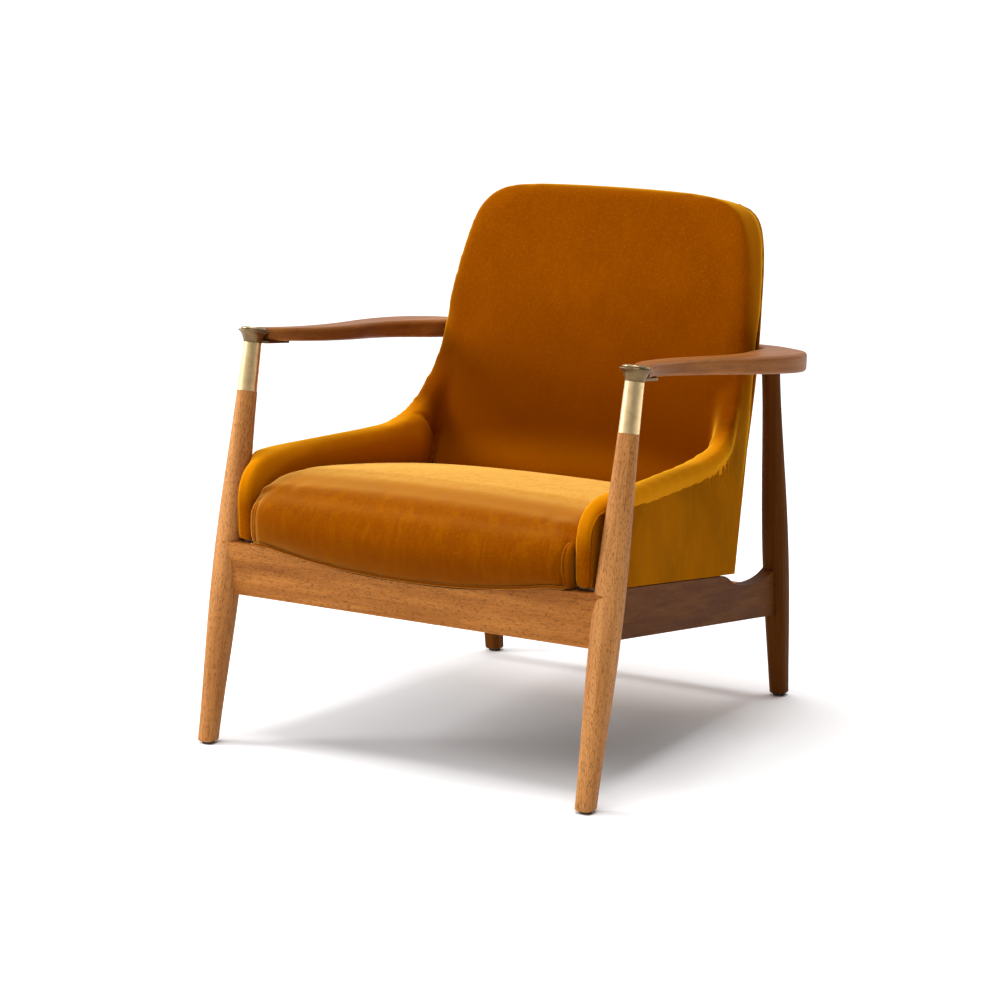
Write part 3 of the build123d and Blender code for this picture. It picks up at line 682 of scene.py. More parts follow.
def grid_sheet(
    name: str, columns: int, rows: int, place: Callable[[float, float], Vector]
) -> bpy.types.Object:
    """Shape a grid over a surface.

    Args:
        name: The new piece's name.
        columns: Cells along the surface's first direction.
        rows: Cells along its second direction.
        place: Gives the point for two shares from 0 to 1.

    Returns:
        The open sheet.
    """
    bpy.ops.object.select_all(action="DESELECT")
    bpy.ops.mesh.primitive_grid_add(x_subdivisions=columns, y_subdivisions=rows, size=2.0)
    piece = bpy.context.active_object
    piece.name = name
    for vertex in piece.data.vertices:
        vertex.co = place(0.5 * (vertex.co.x + 1), 0.5 * (vertex.co.y + 1))
    return piece


def turn_out(piece: bpy.types.Object, weld: float = 0.0) -> None:
    """Make a closed piece's faces point outwards, after points closer than a weld distance are merged."""
    pick_only(piece)
    bpy.ops.object.mode_set(mode="EDIT")
    bpy.ops.mesh.select_all(action="SELECT")
    if weld:
        bpy.ops.mesh.remove_doubles(threshold=weld)
    bpy.ops.mesh.normals_make_consistent(inside=False)
    bpy.ops.object.mode_set(mode="OBJECT")


def close_sheet(piece: bpy.types.Object, thickness: float, rounding: float) -> None:
    """Give an open sheet a thickness, and round its edges.

    Args:
        piece: The sheet.
        thickness: Its thickness in metres, half of it to each side.
        rounding: The width of its rounded edges in metres.
    """
    add_modifier(piece, "SOLIDIFY", thickness=thickness, offset=0.0)
    turn_out(piece)
    corner = math.radians(CORNER_ANGLE)
    add_modifier(piece, "BEVEL", width=rounding, segments=3, limit_method="ANGLE", angle_limit=corner)


def cord(name: str, path: Sequence[Vector], radius: float) -> bpy.types.Object:
    """Run a thin sewn cord along a path, with both its ends drawn to a point.

    Args:
        name: The new piece's name.
        path: The points that the cord's middle passes.
        radius: The cord's radius in metres.

    Returns:
        A closed cord.
    """
    lengths = [0.0]
    for start, end in zip(path, path[1:]):
        lengths.append(lengths[-1] + (end - start).length)

    def middle(distance: float) -> Vector:
        """The point of the path at a distance along it."""
        return Vector([
            read_curve([(length, point[axis]) for length, point in zip(lengths, path)], distance)
            for axis in range(3)
        ])

    def place(along: float, around: float) -> Vector:
        """The point of the cord's surface for shares along it and around it."""
        distance = along * lengths[-1]
        ahead = (middle(distance + 0.002) - middle(distance - 0.002)).normalized()
        side = ahead.cross(Vector((0.3, 0.5, 0.81))).normalized()
        lift = ahead.cross(side)
        angle = 2 * math.pi * around
        width = radius * min(1.0, 40 * min(along, 1 - along)) ** 0.5
        return middle(distance) + width * (math.cos(angle) * side + math.sin(angle) * lift)

    made = grid_sheet(name, max(int(lengths[-1] / 0.004), 8), 10, place)
    turn_out(made, 0.00002)
    mark_seams(made, [])
    return made


def join_to(piece: bpy.types.Object, parts: Sequence[bpy.types.Object]) -> None:
    """Make parts one with a piece."""
    pick_only(piece)
    for part in parts:
        part.select_set(True)
    bpy.ops.object.join()


def nearest_on(path: Sequence[Vector], point: Vector) -> float:
    """Distance from a point to a path of straight runs."""
    best = 1.0
    for start, end in zip(path, path[1:]):
        run = end - start
        share = min(max((point - start).dot(run) / max(run.length_squared, 1e-12), 0.0), 1.0)
        best = min(best, (point - start - share * run).length)
    return best


def mark_seams(piece: bpy.types.Object, seams: Sequence[Sequence[Vector]], depth: float = 0.0) -> None:
    """Store each point's distance to the nearest seam, and press the surface in along the seams.

    Args:
        piece: The piece.
        seams: Paths that lie on its surface.
        depth: How far the surface is pressed in at a seam, in metres.
    """
    seams = [[piece.closest_point_on_mesh(point)[1] for point in path] for path in seams]
    attribute = piece.data.attributes.new("seam_distance", "FLOAT", "POINT")
    normals = [vertex.normal.copy() for vertex in piece.data.vertices]
    for index, vertex in enumerate(piece.data.vertices):
        distance = min((nearest_on(path, vertex.co) for path in seams), default=1.0)
        attribute.data[index].value = distance
        if depth and distance < SEAM_REACH:
            vertex.co -= depth * hump(distance, 0.0, SEAM_SOFTNESS) * normals[index]


def inflate(piece: bpy.types.Object, cap: float, pressure: float, frames: int) -> None:
    """Let a closed cover swell under pressure, and keep each point within a cap of where it was.

    Args:
        piece: The cover, with an even mesh.
        cap: The furthest that a point may move, in metres.
        pressure: The cloth's inner pressure.
        frames: How long it is simulated.
    """
    start = [vertex.co.copy() for vertex in piece.data.vertices]
    pick_only(piece)
    cloth = piece.modifiers.new("cloth", "CLOTH")
    cloth.settings.quality = 5
    cloth.settings.mass = 0.3
    cloth.settings.tension_stiffness = 18
    cloth.settings.compression_stiffness = 18
    cloth.settings.shear_stiffness = 8
    cloth.settings.bending_stiffness = 0.6
    cloth.settings.use_pressure = True
    cloth.settings.uniform_pressure_force = pressure
    cloth.settings.effector_weights.gravity = 0.0
    cloth.collision_settings.use_collision = False
    cloth.point_cache.frame_start = 1
    cloth.point_cache.frame_end = frames
    scene = bpy.context.scene
    for step in range(1, frames + 1):
        scene.frame_set(step)
    bpy.ops.object.modifier_apply(modifier=cloth.name)
    scene.frame_set(1)
    for vertex, before in zip(piece.data.vertices, start):
        move = vertex.co - before
        if move.length > cap:
            vertex.co = before + move * (cap / move.length)


def wear(piece: bpy.types.Object, *materials: bpy.types.Material) -> None:
    """Replace a piece's materials."""
    piece.data.materials.clear()
    for material in materials:
        piece.data.materials.append(material)
    for face in piece.data.polygons:
        face.material_index = 0


def soften(piece: bpy.types.Object) -> None:
    """Shade a piece smoothly, with its sharp edges kept."""
    pick_only(piece)
    bpy.ops.object.shade_smooth_by_angle(angle=math.radians(CREASE_ANGLE))


# --------------------------------------------------------------------------- the shell's shape


@dataclass(frozen=True)
class ShellForm:
    """Sizes and surfaces that the upholstered pieces share, in metres."""

    deck_height: float = 0.2294
    deck_slope: float = 0.156
    rear_y: float = 0.163
    back_slope: float = 0.3025
    back_thickness: float = 0.060
    back_length: float = 0.5600
    front_y: float = -0.303
    wing_thickness: float = 0.031
    half_width: float = 0.3165
    half_width_y: float = -0.215
    taper: float = 0.0945
    pinch: float = 0.0235
    lean: float = 0.030
    lean_from: float = 0.24
    bend_y: float = 0.128
    bend_reach: float = 0.045

    def deck(self, y: float) -> float:
        """Height of the shell's underside at a depth."""
        return self.deck_height + self.deck_slope * (self.rear_y - y)

    def rear(self, z: float) -> float:
        """Depth of the backrest's rear face at a height."""
        return self.rear_y + self.back_slope * (z - self.deck_height)

    def side(self, y: float, z: float) -> float:
        """Distance of the shell's outer side from the middle at a depth and height."""
        pinch = self.pinch * (1 - smoothstep(-0.272, -0.222, y))
        return self._straight(y) - pinch - self._lean(y, z)

    def inner(self, y: float, z: float) -> float:
        """Distance of a wing's inner face from the middle at a depth and height."""
        rear, front = self._straight(y) - self.wing_thickness, 0.2735 + 0.03 * (y + 0.30)
        return 0.5 * (rear + front - math.hypot(rear - front, 0.006)) + 0.0012 - self._lean(y, z)

    def _straight(self, y: float) -> float:
        """Distance of the sides from the middle at deck height, without the pinch between the legs."""
        return self.half_width - self.taper * (y - self.half_width_y)

    def _lean(self, y: float, z: float) -> float:
        """How far the sides lean in at a depth and height."""
        return self.lean * (z - self.lean_from) * smoothstep(-0.30, 0.05, y)

    def bend(self, y: float) -> float:
        """How near a depth is to the place where a wing turns up into the backrest, from 0 to 1."""
        return hump(y, self.bend_y, self.bend_reach)

    def back_place(self) -> Matrix:
        """The plane of the backrest's rear face, with Y up it and Z out of its front."""
        up = Vector((0.0, self.back_slope, 1.0)).normalized()
        out = Vector((0.0, -1.0, self.back_slope)).normalized()
        across = Vector((1.0, 0.0, 0.0))
        place = Matrix((across, up, out)).transposed().to_4x4()
        place.translation = Vector((0.0, self.rear_y, self.deck_height))
        return place

    @cached_property
    def back_widths(self) -> list[Point2]:
        """Half-widths of the backrest's rear face by distance up it."""
        return smooth_through((
            (0.000, 0.274), (0.180, 0.2725), (0.250, 0.2710), (0.333, 0.2670),
            (0.417, 0.2590), (0.462, 0.2540), (0.500, 0.2470), (0.528, 0.2370),
            (0.546, 0.2210), (0.5560, 0.1960), (0.5590, 0.1560), (0.5595, 0.0900),
        ))

    @cached_property
    def front_widths(self) -> list[Point2]:
        """Half-widths of the backrest's front face, whose corners are rounder, by distance up it."""
        return smooth_through((
            (0.000, 0.276), (0.180, 0.2755), (0.250, 0.2730), (0.333, 0.2675),
            (0.417, 0.2580), (0.462, 0.2500), (0.500, 0.2402), (0.526, 0.2262),
            (0.543, 0.2060), (0.5530, 0.1780), (0.5575, 0.1400), (0.5590, 0.0900),
        ))

    def back_outline(self, widths: Sequence[Point2], foot: float) -> list[Point2]:
        """Closed outline of the backrest on its own plane.

        Args:
            widths: Half-widths by distance up the backrest.
            foot: Where it ends at the bottom.

        Returns:
            The outline's points.
        """
        right = [(width, up) for up, width in widths if up > foot]
        shoulder = self.back_length - 0.0003
        crown = [(0.05, shoulder), (0.0, self.back_length), (-0.05, shoulder)]
        left = [(-across, up) for across, up in reversed(right)]
        return [(right[0][0], foot), *right, *crown, *left, (-right[0][0], foot)]

    def wing_outline(self) -> list[Point2]:
        """Closed side view of a wing, with its rear end buried in the backrest."""
        top = smooth_through((
            (-0.297, 0.300), (-0.299, 0.340), (-0.2970, 0.374), (-0.285, 0.400), (-0.258, 0.4165),
            (-0.215, 0.4225), (-0.100, 0.4210), (0.000, 0.4190), (0.060, 0.4210), (0.100, 0.4285),
            (0.128, 0.4415), (0.150, 0.4600), (0.170, 0.4860), (0.190, 0.5180), (0.216, 0.5560),
        ))
        return top + [(0.232, 0.550), (0.150, 0.300), (0.130, self.deck(0.130) + 0.002)]

    def seam_top(self, y: float) -> float:
        """Height of the seam between a wing's roll and its outside panel."""
        return read_curve(self.seam_heights, y)

    @cached_property
    def seam_heights(self) -> list[Point2]:
        """The seam's heights by depth."""
        return smooth_through((
            (-0.2925, 0.345), (-0.2910, 0.372), (-0.2800, 0.391), (-0.2520, 0.3995), (-0.100, 0.3995),
            (0.030, 0.3985), (0.085, 0.4000), (0.122, 0.4070), (0.146, 0.4220), (0.163, 0.4470),
            (0.176, 0.4760), (0.196, 0.5060), (0.224, 0.5260), (0.252, 0.5320),
        ), 4)


@dataclass
class Shell:
    """The inner cover of the backrest and the two wings, in one padded piece."""

    finish: Velvet
    voxel: float = 0.0042
    crown: float = 0.009
    swell: float = 0.003
    wing_rim: float = 0.0125
    front_rim: float = 0.019
    rear_rim: float = 0.005
    gather_depth: float = 0.0005
    gather_pitch: float = 620.0
    form: ShellForm = field(default_factory=ShellForm)

    def build(self) -> bpy.types.Object:
        """Join a padded backrest and two padded wings into one cover.

        Returns:
            The finished piece.
        """
        wing = self._wing()
        backrest = self._backrest()
        pick_only(backrest)
        wing.select_set(True)
        bpy.ops.object.join()
        remesh(backrest, self.voxel)
        add_modifier(backrest, "SMOOTH", factor=0.5, iterations=14)
        self._blend_wings_in(backrest)
        self._crown(backrest)
        inflate(backrest, self.swell, 3.0, 8)
        add_modifier(backrest, "SMOOTH", factor=0.5, iterations=9)
        mark_seams(backrest, self._seams(), 0.0016)
        self._pucker(backrest)
        ridges = [
            cord("front_ridge", [backrest.closest_point_on_mesh(point)[1] for point in path], 0.0012)
            for path in self._front_edges()
        ]
        join_to(backrest, ridges)
        soften(backrest)
        backrest.name = "back_and_wings_cover"
        wear(backrest, self.finish.material())
        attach(backrest, "root")
        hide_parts("back_pad", "wing_pad_left", "wing_pad_right")
        return backrest

    def _blend_wings_in(self, cover: bpy.types.Object) -> None:
        """Stretch the cover smoothly over the hollow between each wing's rear end and the backrest."""
        group = cover.vertex_groups.new(name="hollow")
        for vertex in cover.data.vertices:
            across, y, z = abs(vertex.co.x), vertex.co.y, vertex.co.z
            inside = smoothstep(0.175, 0.215, across) * (1 - smoothstep(0.262, 0.276, across))
            height = smoothstep(0.385, 0.425, z) * (1 - smoothstep(0.55, 0.61, z))
            depth = smoothstep(0.075, 0.105, y)
            group.add([vertex.index], inside * height * depth, "REPLACE")
        add_modifier(cover, "SMOOTH", factor=0.5, iterations=90, vertex_group="hollow")

    def _wing(self) -> bpy.types.Object:
        """Model both wings: one slab, rounded, bent to the plan and mirrored."""
        form = self.form
        upright = Matrix(((0, 0, -1), (1, 0, 0), (0, 1, 0))).to_4x4()
        outline = form.wing_outline()
        wing = slab("wing", outline, upright, form.wing_thickness - 0.002)
        round_rim(wing, lambda point: point.y < 0.2 and point.z > form.deck(point.y) + 0.003, self.wing_rim)
        remesh(wing, self.voxel)
        for vertex in wing.data.vertices:
            across, y, z = vertex.co
            seam = form.seam_top(y)
            roll = smoothstep(seam - 0.003, seam + 0.009, z) * smoothstep(-0.31, -0.25, y)
            outer = form.side(y, z) - 0.003 + (0.0045 + 0.003 * form.bend(y)) * roll
            share = -across / (form.wing_thickness - 0.002)
            vertex.co.x = outer + share * (form.inner(y, z) - outer)
        add_modifier(wing, "MIRROR", use_axis=(True, False, False), use_mirror_merge=False)
        return wing

    def _backrest(self) -> bpy.types.Object:
        """Model the backrest: a slab with a wide front radius and a tight rear one."""
        form = self.form
        depth = form.back_thickness - self.rear_rim
        place = form.back_place() @ Matrix.Translation((0.0, 0.0, self.rear_rim))
        rear = form.back_outline(form.back_widths, 0.02)
        front = form.back_outline(form.front_widths, 0.02)
        backrest = slab("backrest", rear, place, depth)
        for vertex, (across, up) in zip(backrest.data.vertices[len(rear):], front):
            vertex.co = place @ Vector((across, up, depth))
        away = place.inverted()
        round_rim(backrest, lambda point: (away @ point).z > 0.04, self.front_rim, 6)
        round_rim(backrest, lambda point: (away @ point).z < 0.001, self.rear_rim, 2)
        return backrest

    def _crown(self, cover: bpy.types.Object) -> None:
        """Belly the backrest's front out in the middle."""
        away = self.form.back_place().inverted()
        out = self.form.back_place().to_3x3() @ Vector((0.0, 0.0, 1.0))
        for vertex in cover.data.vertices:
            across, up, depth = away @ vertex.co
            front = smoothstep(0.035, 0.055, depth) * (1 - smoothstep(0.075, 0.10, depth))
            middle = max(0.0, 1 - (across / 0.235) ** 2)
            height = smoothstep(0.03, 0.12, up) * (1 - smoothstep(0.30, 0.54, up))
            vertex.co += out * self.crown * front * (middle * height)

    def _seams(self) -> list[list[Vector]]:
        """The seam in each inner corner, and the seam round the rear edge of the rim."""
        form = self.form
        place = form.back_place()
        paths = []
        for side in (-1, 1):
            corner = ((0.160, 0.335), (0.158, 0.365), (0.146, 0.395), (0.128, 0.420), (0.108, 0.440))
            paths.append([Vector((side * form.inner(y, z), y, z)) for y, z in corner])
        rim = form.back_outline(form.back_widths, 0.25)
        paths.append([place @ Vector((across, up, 0.012)) for across, up in rim])
        return paths

    def _front_edges(self) -> list[list[Vector]]:
        """The seam up the outer front edge of each wing and over on to its roll."""
        heights = (
            (-0.2950, 0.304), (-0.2965, 0.330), (-0.2950, 0.360),
            (-0.2880, 0.384), (-0.2700, 0.400), (-0.2450, 0.406),
        )
        return [
            [Vector((side * (self.form.side(y, z) - 0.002), y, z)) for y, z in smooth_through(heights, 5)]
            for side in (-1, 1)
        ]

    def _pucker(self, cover: bpy.types.Object) -> None:
        """Gather the roll of each wing where it bends up into the backrest."""
        normals = [vertex.normal.copy() for vertex in cover.data.vertices]
        for vertex, normal in zip(cover.data.vertices, normals):
            point = vertex.co
            bend = hump(point.y, 0.125, 0.045) * smoothstep(0.385, 0.402, point.z)
            outer = smoothstep(-0.022, -0.008, abs(point.x) - self.form.side(point.y, point.z))
            along = self.gather_pitch * (point.y * 0.8 + point.z * 0.6)
            ripple = math.sin(along + 9.0 * noise.noise(point * 70))
            vertex.co += normal * self.gather_depth * ripple * bend * outer


@dataclass
class SidePanel:
    """The flat outside cover of a wing, sewn under its roll."""

    finish: bpy.types.Material
    side: int
    thickness: float = 0.005
    front_y: float = -0.2915
    foot_gap: float = 0.0012
    rear_gap: float = 0.003
    belly: float = 0.0022
    waver: float = 0.0006
    gather_depth: float = 0.0016
    gather_reach: float = 0.016
    gather_pitch: float = 430.0
    form: ShellForm = field(default_factory=ShellForm)

    def build(self) -> bpy.types.Object:
        """Shape a sheet to the side of the shell and give it its thickness.

        Returns:
            The finished piece.
        """
        name = "right" if self.side > 0 else "left"
        panel = grid_sheet(f"outside_side_cover_{name}", 240, 56, self._point)
        close_sheet(panel, self.thickness, 0.0018)
        mark_seams(panel, [])
        soften(panel)
        wear(panel, self.finish)
        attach(panel, "root")
        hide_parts(f"outside_side_panel_{name}")
        return panel

    def _point(self, along: float, up: float) -> Vector:
        """A point of the panel's middle surface, for shares along it and up it."""
        form = self.form
        front = self.front_y
        y = front + along * (form.rear_y - front)
        for _ in range(6):
            foot = form.deck(y) + self.foot_gap
            z = foot + up * (form.seam_top(y) - foot)
            y = front + along * (form.rear(z) - self.rear_gap - front)
        belly = self.belly * math.sin(math.pi * along) * math.sin(math.pi * up)
        ripple = self.waver * noise.noise(Vector((y * 14, z * 9, 3.0 * self.side)))
        near_seam = hump(form.seam_top(y) - z, 0.0, self.gather_reach)
        gathers = self.gather_depth * near_seam * (0.06 + form.bend(y)) * math.sin(
            self.gather_pitch * y + 9.0 * noise.noise(Vector((y * 45, z * 14, self.side)))
        )
        rounding = 0.004 * smoothstep(form.rear(z) - 0.014, form.rear(z) - 0.002, y) ** 2
        taper = 0.0035 * smoothstep(0.44, 0.53, z)
        x = form.side(y, z) - 0.5 * self.thickness + 0.0006 + belly + ripple + gathers - rounding - taper
        return Vector((self.side * x, y, z))


@dataclass
class BackPanel:
    """The outside cover of the backrest."""

    finish: bpy.types.Material
    thickness: float = 0.006
    belly: float = 0.004
    length: float = 0.5545
    inset: float = 0.005
    crown: float = 0.0035
    waver: float = 0.0006
    form: ShellForm = field(default_factory=ShellForm)

    def build(self) -> bpy.types.Object:
        """Shape a sheet to the rear of the backrest and give it its thickness.

        Returns:
            The finished piece.
        """
        panel = grid_sheet("outside_back_cover", 60, 80, self._point)
        close_sheet(panel, self.thickness, 0.002)
        mark_seams(panel, [])
        soften(panel)
        wear(panel, self.finish)
        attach(panel, "root")
        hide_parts("outside_back_panel")
        return panel

    def _point(self, along: float, up: float) -> Vector:
        """A point of the panel's middle surface, for shares across it and up it."""
        across = 2 * along - 1
        height = 0.001 + up * self.length
        width = read_curve(self.form.back_widths, height) - self.inset
        crown = self.crown * (1 - across * across) * smoothstep(0.50, self.length, height)
        belly = self.belly * (1 - across * across) * math.sin(math.pi * up)
        ripple = self.waver * noise.noise(Vector((across * 3, height * 8, 1.7)))
        return self.form.back_place() @ Vector((across * width, height + crown, 0.0022 - belly - ripple))


@dataclass
class SeatCushion:
    """The crowned seat between the wings."""

    finish: Velvet
    voxel: float = 0.0045
    crown: float = 0.008
    swell: float = 0.004
    nose: float = 0.010
    top_height: float = 0.388
    top_from: float = -0.18
    welt_radius: float = 0.0021
    ridge_radius: float = 0.0013
    seam_depth: float = 0.0024
    form: ShellForm = field(default_factory=ShellForm)

    def build(self) -> bpy.types.Object:
        """Shape a block, swell it under pressure and sew its front corners.

        Returns:
            The finished piece.
        """
        bpy.ops.object.select_all(action="DESELECT")
        bpy.ops.mesh.primitive_cube_add(size=2.0)
        seat = bpy.context.active_object
        seat.name = "seat_cushion_cover"
        bpy.ops.object.mode_set(mode="EDIT")
        bpy.ops.mesh.select_all(action="SELECT")
        bpy.ops.mesh.subdivide(number_cuts=47)
        bpy.ops.object.mode_set(mode="OBJECT")
        for vertex in seat.data.vertices:
            vertex.co = self._point(*vertex.co)
        remesh(seat, self.voxel)
        add_modifier(seat, "SMOOTH", factor=0.5, iterations=6)
        inflate(seat, self.swell, 4.0, 14)
        add_modifier(seat, "SMOOTH", factor=0.5, iterations=14)
        self._settle(seat)
        mark_seams(seat, self._seams(), self.seam_depth)
        ridges = [
            cord("corner_ridge", [seat.closest_point_on_mesh(point)[1] for point in path], self.ridge_radius)
            for path in self._seams()
        ]
        join_to(seat, [cord("seat_welt", self._welt_path(), self.welt_radius), *ridges])
        soften(seat)
        wear(seat, self.finish.material())
        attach(seat, "root")
        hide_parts("seat_cushion")
        return seat

    def _settle(self, seat: bpy.types.Object) -> None:
        """Let the bottom of the nose down on the apron."""
        for vertex in seat.data.vertices:
            x, y, z = vertex.co
            if y < -0.272:
                over = z - self.lip(x) - 0.004
                share = 1 - smoothstep(-0.282, -0.272, y)
                vertex.co.z -= 0.0045 * (1 - smoothstep(0.0, 0.022, over)) * share

    def _welt_path(self) -> list[Vector]:
        """The bottom front edge, just over the apron."""
        reach = self.half_width(-0.30) - 0.004
        steps = 48
        path = []
        for index in range(steps + 1):
            x = reach * (2 * index / steps - 1)
            path.append(Vector((x, self.form.front_y - 0.0030, self.lip(x) + 0.0026)))
        return path

    def half_width(self, y: float) -> float:
        """Half the seat's width at a depth, just inside the wings."""
        return self.form.inner(y, 0.35) - 0.0012

    def top(self, x: float, y: float) -> float:
        """Height of the seat's upper face."""
        back = y - self.top_from
        fall = 0.092 * back + 0.160 * back * back if back > 0 else -0.02 * back
        edge = self.top_height - fall
        return edge + self.crown * (1 - min(abs(x) / self.half_width(y), 1.0) ** 2.6)

    def bottom(self, x: float, y: float) -> float:
        """Height of the seat's underside, which rests on the apron in front."""
        inner = self.form.deck(y) + 0.024
        return self.lip(x) + (inner - self.lip(x)) * smoothstep(-0.280, -0.272, y)

    @staticmethod
    def lip(x: float) -> float:
        """Height of the apron's top edge, with the seam's thickness added."""
        share = min(abs(x) / 0.240, 1.0)
        return 0.2965 - 0.0215 * (1 - 0.92 * share**2 - 0.08 * share**4)

    def _point(self, across: float, back: float, up: float) -> Vector:
        """Carry a point of a cube with corners at -1 and 1 to the seat."""
        share_up = 0.5 * (up + 1)
        share_back = 0.5 * (back + 1)
        share_back = share_back**1.25
        roll = (0.036 - 0.010 * across**4) * smoothstep(0.48, 1.0, share_up) ** 2
        bulge = self.nose * math.sin(math.pi * min(share_up * 1.15, 1.0)) * (1 - 0.5 * across**6)
        front = self.form.front_y - bulge + roll
        rear = self.form.rear(0.30 + 0.06 * share_up) - 0.064
        y = front + share_back * (rear - front)
        x = across * self.half_width(max(y, -0.30))
        top = self.top(x, y) - 0.009 * (1 - smoothstep(0.0, 0.12, share_back))
        bottom = self.bottom(x, y)
        return Vector((x, y, bottom + share_up * (top - bottom)))

    def _seams(self) -> list[list[Vector]]:
        """A short upright seam inside each front corner."""
        return [[self._point(side * 0.962, -1.0, 0.2 * step - 0.98) for step in range(9)] for side in (-1, 1)]


# --------------------------------------------------------------------------- the frame's finishes


@dataclass
class FrameFinishes:
    """Finishes for the nodes that keep the frame's own shape."""

    def dress(self) -> None:
        """Give each node the finish of its kind."""
        # Painted light: the front legs are a lighter, lit copy of the same wood as the apron.
        front_leg = Wood(
            "front_leg_wood_painted_light", Grain.ALONG_FRONT_LEG, light=(0.60, 0.265, 0.080), dark=(0.37, 0.135, 0.033)
        ).material()
        # Painted shade: the rear legs and side rails are a darker copy of the same wood, with less gloss and
        # no coat.
        shaded = {"light": (0.165, 0.052, 0.007), "dark": (0.078, 0.021, 0.002), "coat": 0.0, "gloss": 0.04}
        rear_leg = Wood("rear_leg_wood_painted_shade", Grain.ALONG_REAR_LEG, **shaded).material()
        apron = Wood("apron_wood", Grain.ACROSS).material()
        rail = Wood("side_rail_wood_painted_shade", Grain.ALONG_RAIL, **shaded).material()
        arm = Wood(
            "arm_wood", Grain.ALONG_ARM, light=(0.38, 0.140, 0.030), dark=(0.21, 0.064, 0.010),
            pore_share=0.4, roughness=0.40, coat=0.05,
        ).material()
        finishes = {
            "front_leg": front_leg,
            "rear_leg": rear_leg,
            "front_apron": apron,
            "rear_rail": apron,
            "cross_rail": apron,
            "side_rail": rail,
            "arm": arm,
            "brass_sleeve": Brass().material(),
            "brass_cap": Brass("polished_brass", (0.45, 0.33, 0.18), (0.28, 0.19, 0.10), 0.2).material(),
            "brass_cup": Brass("bronzed_brass", (0.19, 0.125, 0.06), (0.10, 0.065, 0.03), 0.3).material(),
            "deck": RawBoard().material(),
            "corner_block_screws": Steel().material(),
            "corner_block": RawBoard("block_wood").material(),
            "wing_board": RawBoard("wing_ply").material(),
            "back_board": RawBoard("back_ply").material(),
            "webbing": Cloth("elastic_webbing", (0.16, 0.13, 0.10), (0.30, 0.26, 0.20), 2200).material(),
            "dust_cover": Cloth("dust_cloth", (0.012, 0.012, 0.013), (0.035, 0.035, 0.036), 2600).material(),
            "glide_nails": Steel("nail_steel").material(),
            "glide": BlackPlastic().material(),
            "back_spacer": BlackPlastic("spacer_plastic").material(),
            "back_screws": Steel("back_screw_steel").material(),
            "cup_studs": Steel("stud_steel").material(),
            "tongue_screws": Steel("tongue_screw_steel").material(),
            "shell": Steel("bolt_steel").material(),
        }
        for name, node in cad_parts.items():
            for start, material in finishes.items():
                if name.startswith(start):
                    wear(node, material)
                    LOG.info("%s wears %s", name, material.name)
                    break


# --------------------------------------------------------------------------- the studio


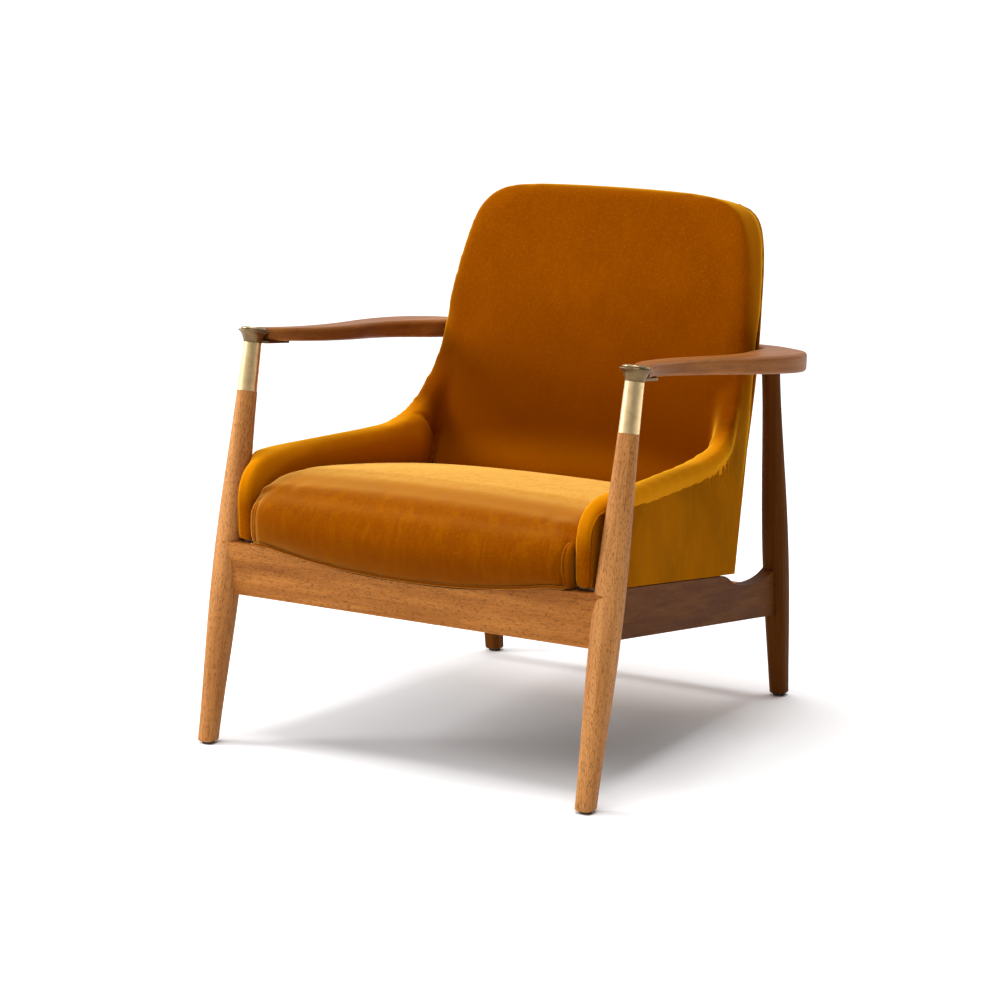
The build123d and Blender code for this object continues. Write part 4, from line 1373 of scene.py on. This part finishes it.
@dataclass
class Studio:
    """Floor, lights and camera."""

    camera_place: Point3 = (2.4665, -3.9430, 1.3031)
    camera_fall: float = 11.70
    camera_turn: float = 32.37
    lens: float = 115.0
    sky_strength: float = 1.08
    sky_span: Point2 = (-0.9, 0.8)
    sky_levels: Point2 = (1.0, 0.07)
    sun_strength: float = 2.4
    sun_spread: float = 29.0
    aim: Point3 = (0.0, 0.0, 0.40)

    def build(self) -> None:
        """Set up the floor, the lights and the camera."""
        self._floor()
        self._lights()
        self._camera()

    def _floor(self) -> None:
        """Lay a wide pale floor."""
        bpy.ops.object.select_all(action="DESELECT")
        bpy.ops.mesh.primitive_plane_add(size=120.0)
        floor = bpy.context.active_object
        floor.name = "studio_floor"
        graph = Graph("studio_floor")
        wear(floor, graph.finish(Base_Color=(0.92, 0.92, 0.925), Roughness=0.95, Specular_IOR_Level=0.0))

    def _lights(self) -> None:
        """A soft sun from above, a lamp at the left and at the rear, and a sky that darkens to the right."""
        world = bpy.data.worlds.new("studio")
        bpy.context.scene.world = world
        world.use_nodes = True
        tree = world.node_tree
        background = tree.nodes["Background"]
        background.inputs["Strength"].default_value = self.sky_strength
        place = tree.nodes.new("ShaderNodeTexCoord")
        axes = tree.nodes.new("ShaderNodeSeparateXYZ")
        ramp = tree.nodes.new("ShaderNodeMapRange")
        levels = (*self.sky_span, *self.sky_levels)
        for name, level in zip(("From Min", "From Max", "To Min", "To Max"), levels):
            ramp.inputs[name].default_value = level
        tree.links.new(place.outputs["Generated"], axes.inputs["Vector"])
        tree.links.new(axes.outputs["X"], ramp.inputs["Value"])
        tree.links.new(ramp.outputs["Result"], background.inputs["Color"])
        self._sun("overhead")
        self._area("left_lamp", 48.0, 0.9, (-2.3, -1.0, 1.5))
        self._area("rear_lamp", 9.0, 1.2, (1.0, 2.6, 1.7))

    def _sun(self, name: str) -> None:
        """Add a soft sun that stands straight above."""
        light = bpy.data.lights.new(name, "SUN")
        light.energy = self.sun_strength
        light.angle = math.radians(self.sun_spread)
        lamp = bpy.data.objects.new(name, light)
        bpy.context.scene.collection.objects.link(lamp)

    def _area(self, name: str, power: float, size: float, place: Point3) -> None:
        """Add a square lamp that faces the seat."""
        light = bpy.data.lights.new(name, "AREA")
        light.energy = power
        light.size = size
        lamp = bpy.data.objects.new(name, light)
        lamp.location = place
        aim = Vector(self.aim) - Vector(place)
        lamp.rotation_euler = aim.to_track_quat("-Z", "Y").to_euler()
        bpy.context.scene.collection.objects.link(lamp)

    def _camera(self) -> None:
        """Place the camera."""
        lens = bpy.data.cameras.new("camera")
        lens.lens = self.lens
        lens.sensor_width = 36.0
        lens.clip_end = 200.0
        camera = bpy.data.objects.new("camera", lens)
        camera.location = self.camera_place
        camera.rotation_euler = (math.radians(90 - self.camera_fall), 0.0, math.radians(self.camera_turn))
        bpy.context.scene.collection.objects.link(camera)
        bpy.context.scene.camera = camera
        bpy.context.scene.view_settings.view_transform = "Standard"


def main() -> None:
    """Dress the frame, upholster the shell and set up the studio."""
    logging.basicConfig(level=logging.INFO, format="%(message)s")
    FrameFinishes().dress()
    shell_finish = Velvet(
        "velvet_shell",
        painted_sheen_tips=(0.85, 0.42, 0.020),
        # Painted shade: the backrest darker low down, towards the seat.
        painted_shade_zone=PaintedShadingZone((0.105, 0.150), (0.70, 0.40), 0.75),
        # Painted light: the wings lighter over their tops.
        painted_light_zone=PaintedShadingZone((0.150, 0.105), (0.34, 0.40), 0.80),
    )
    # Painted shade: the seat's front darker towards the bottom.
    seat_finish = Velvet("velvet_seat", Pile.SAT_ON, painted_shade_zone=PaintedShadingZone((-0.20, -0.28), (0.38, 0.28), 0.75))
    side_finish = Velvet("velvet_side", Pile.BRUSHED_UP, painted_sheen_tips=(0.62, 0.28, 0.010)).material()
    back_finish = Velvet("velvet_outside_back").material()
    pieces = [
        Shell(shell_finish).build(),
        SeatCushion(seat_finish).build(),
        SidePanel(side_finish, 1).build(),
        SidePanel(side_finish, -1).build(),
        BackPanel(back_finish).build(),
    ]
    for piece in pieces:
        LOG.info("%s: %d faces", piece.name, len(piece.data.polygons))
    Studio().build()


if __name__ == "__main__":
    main()
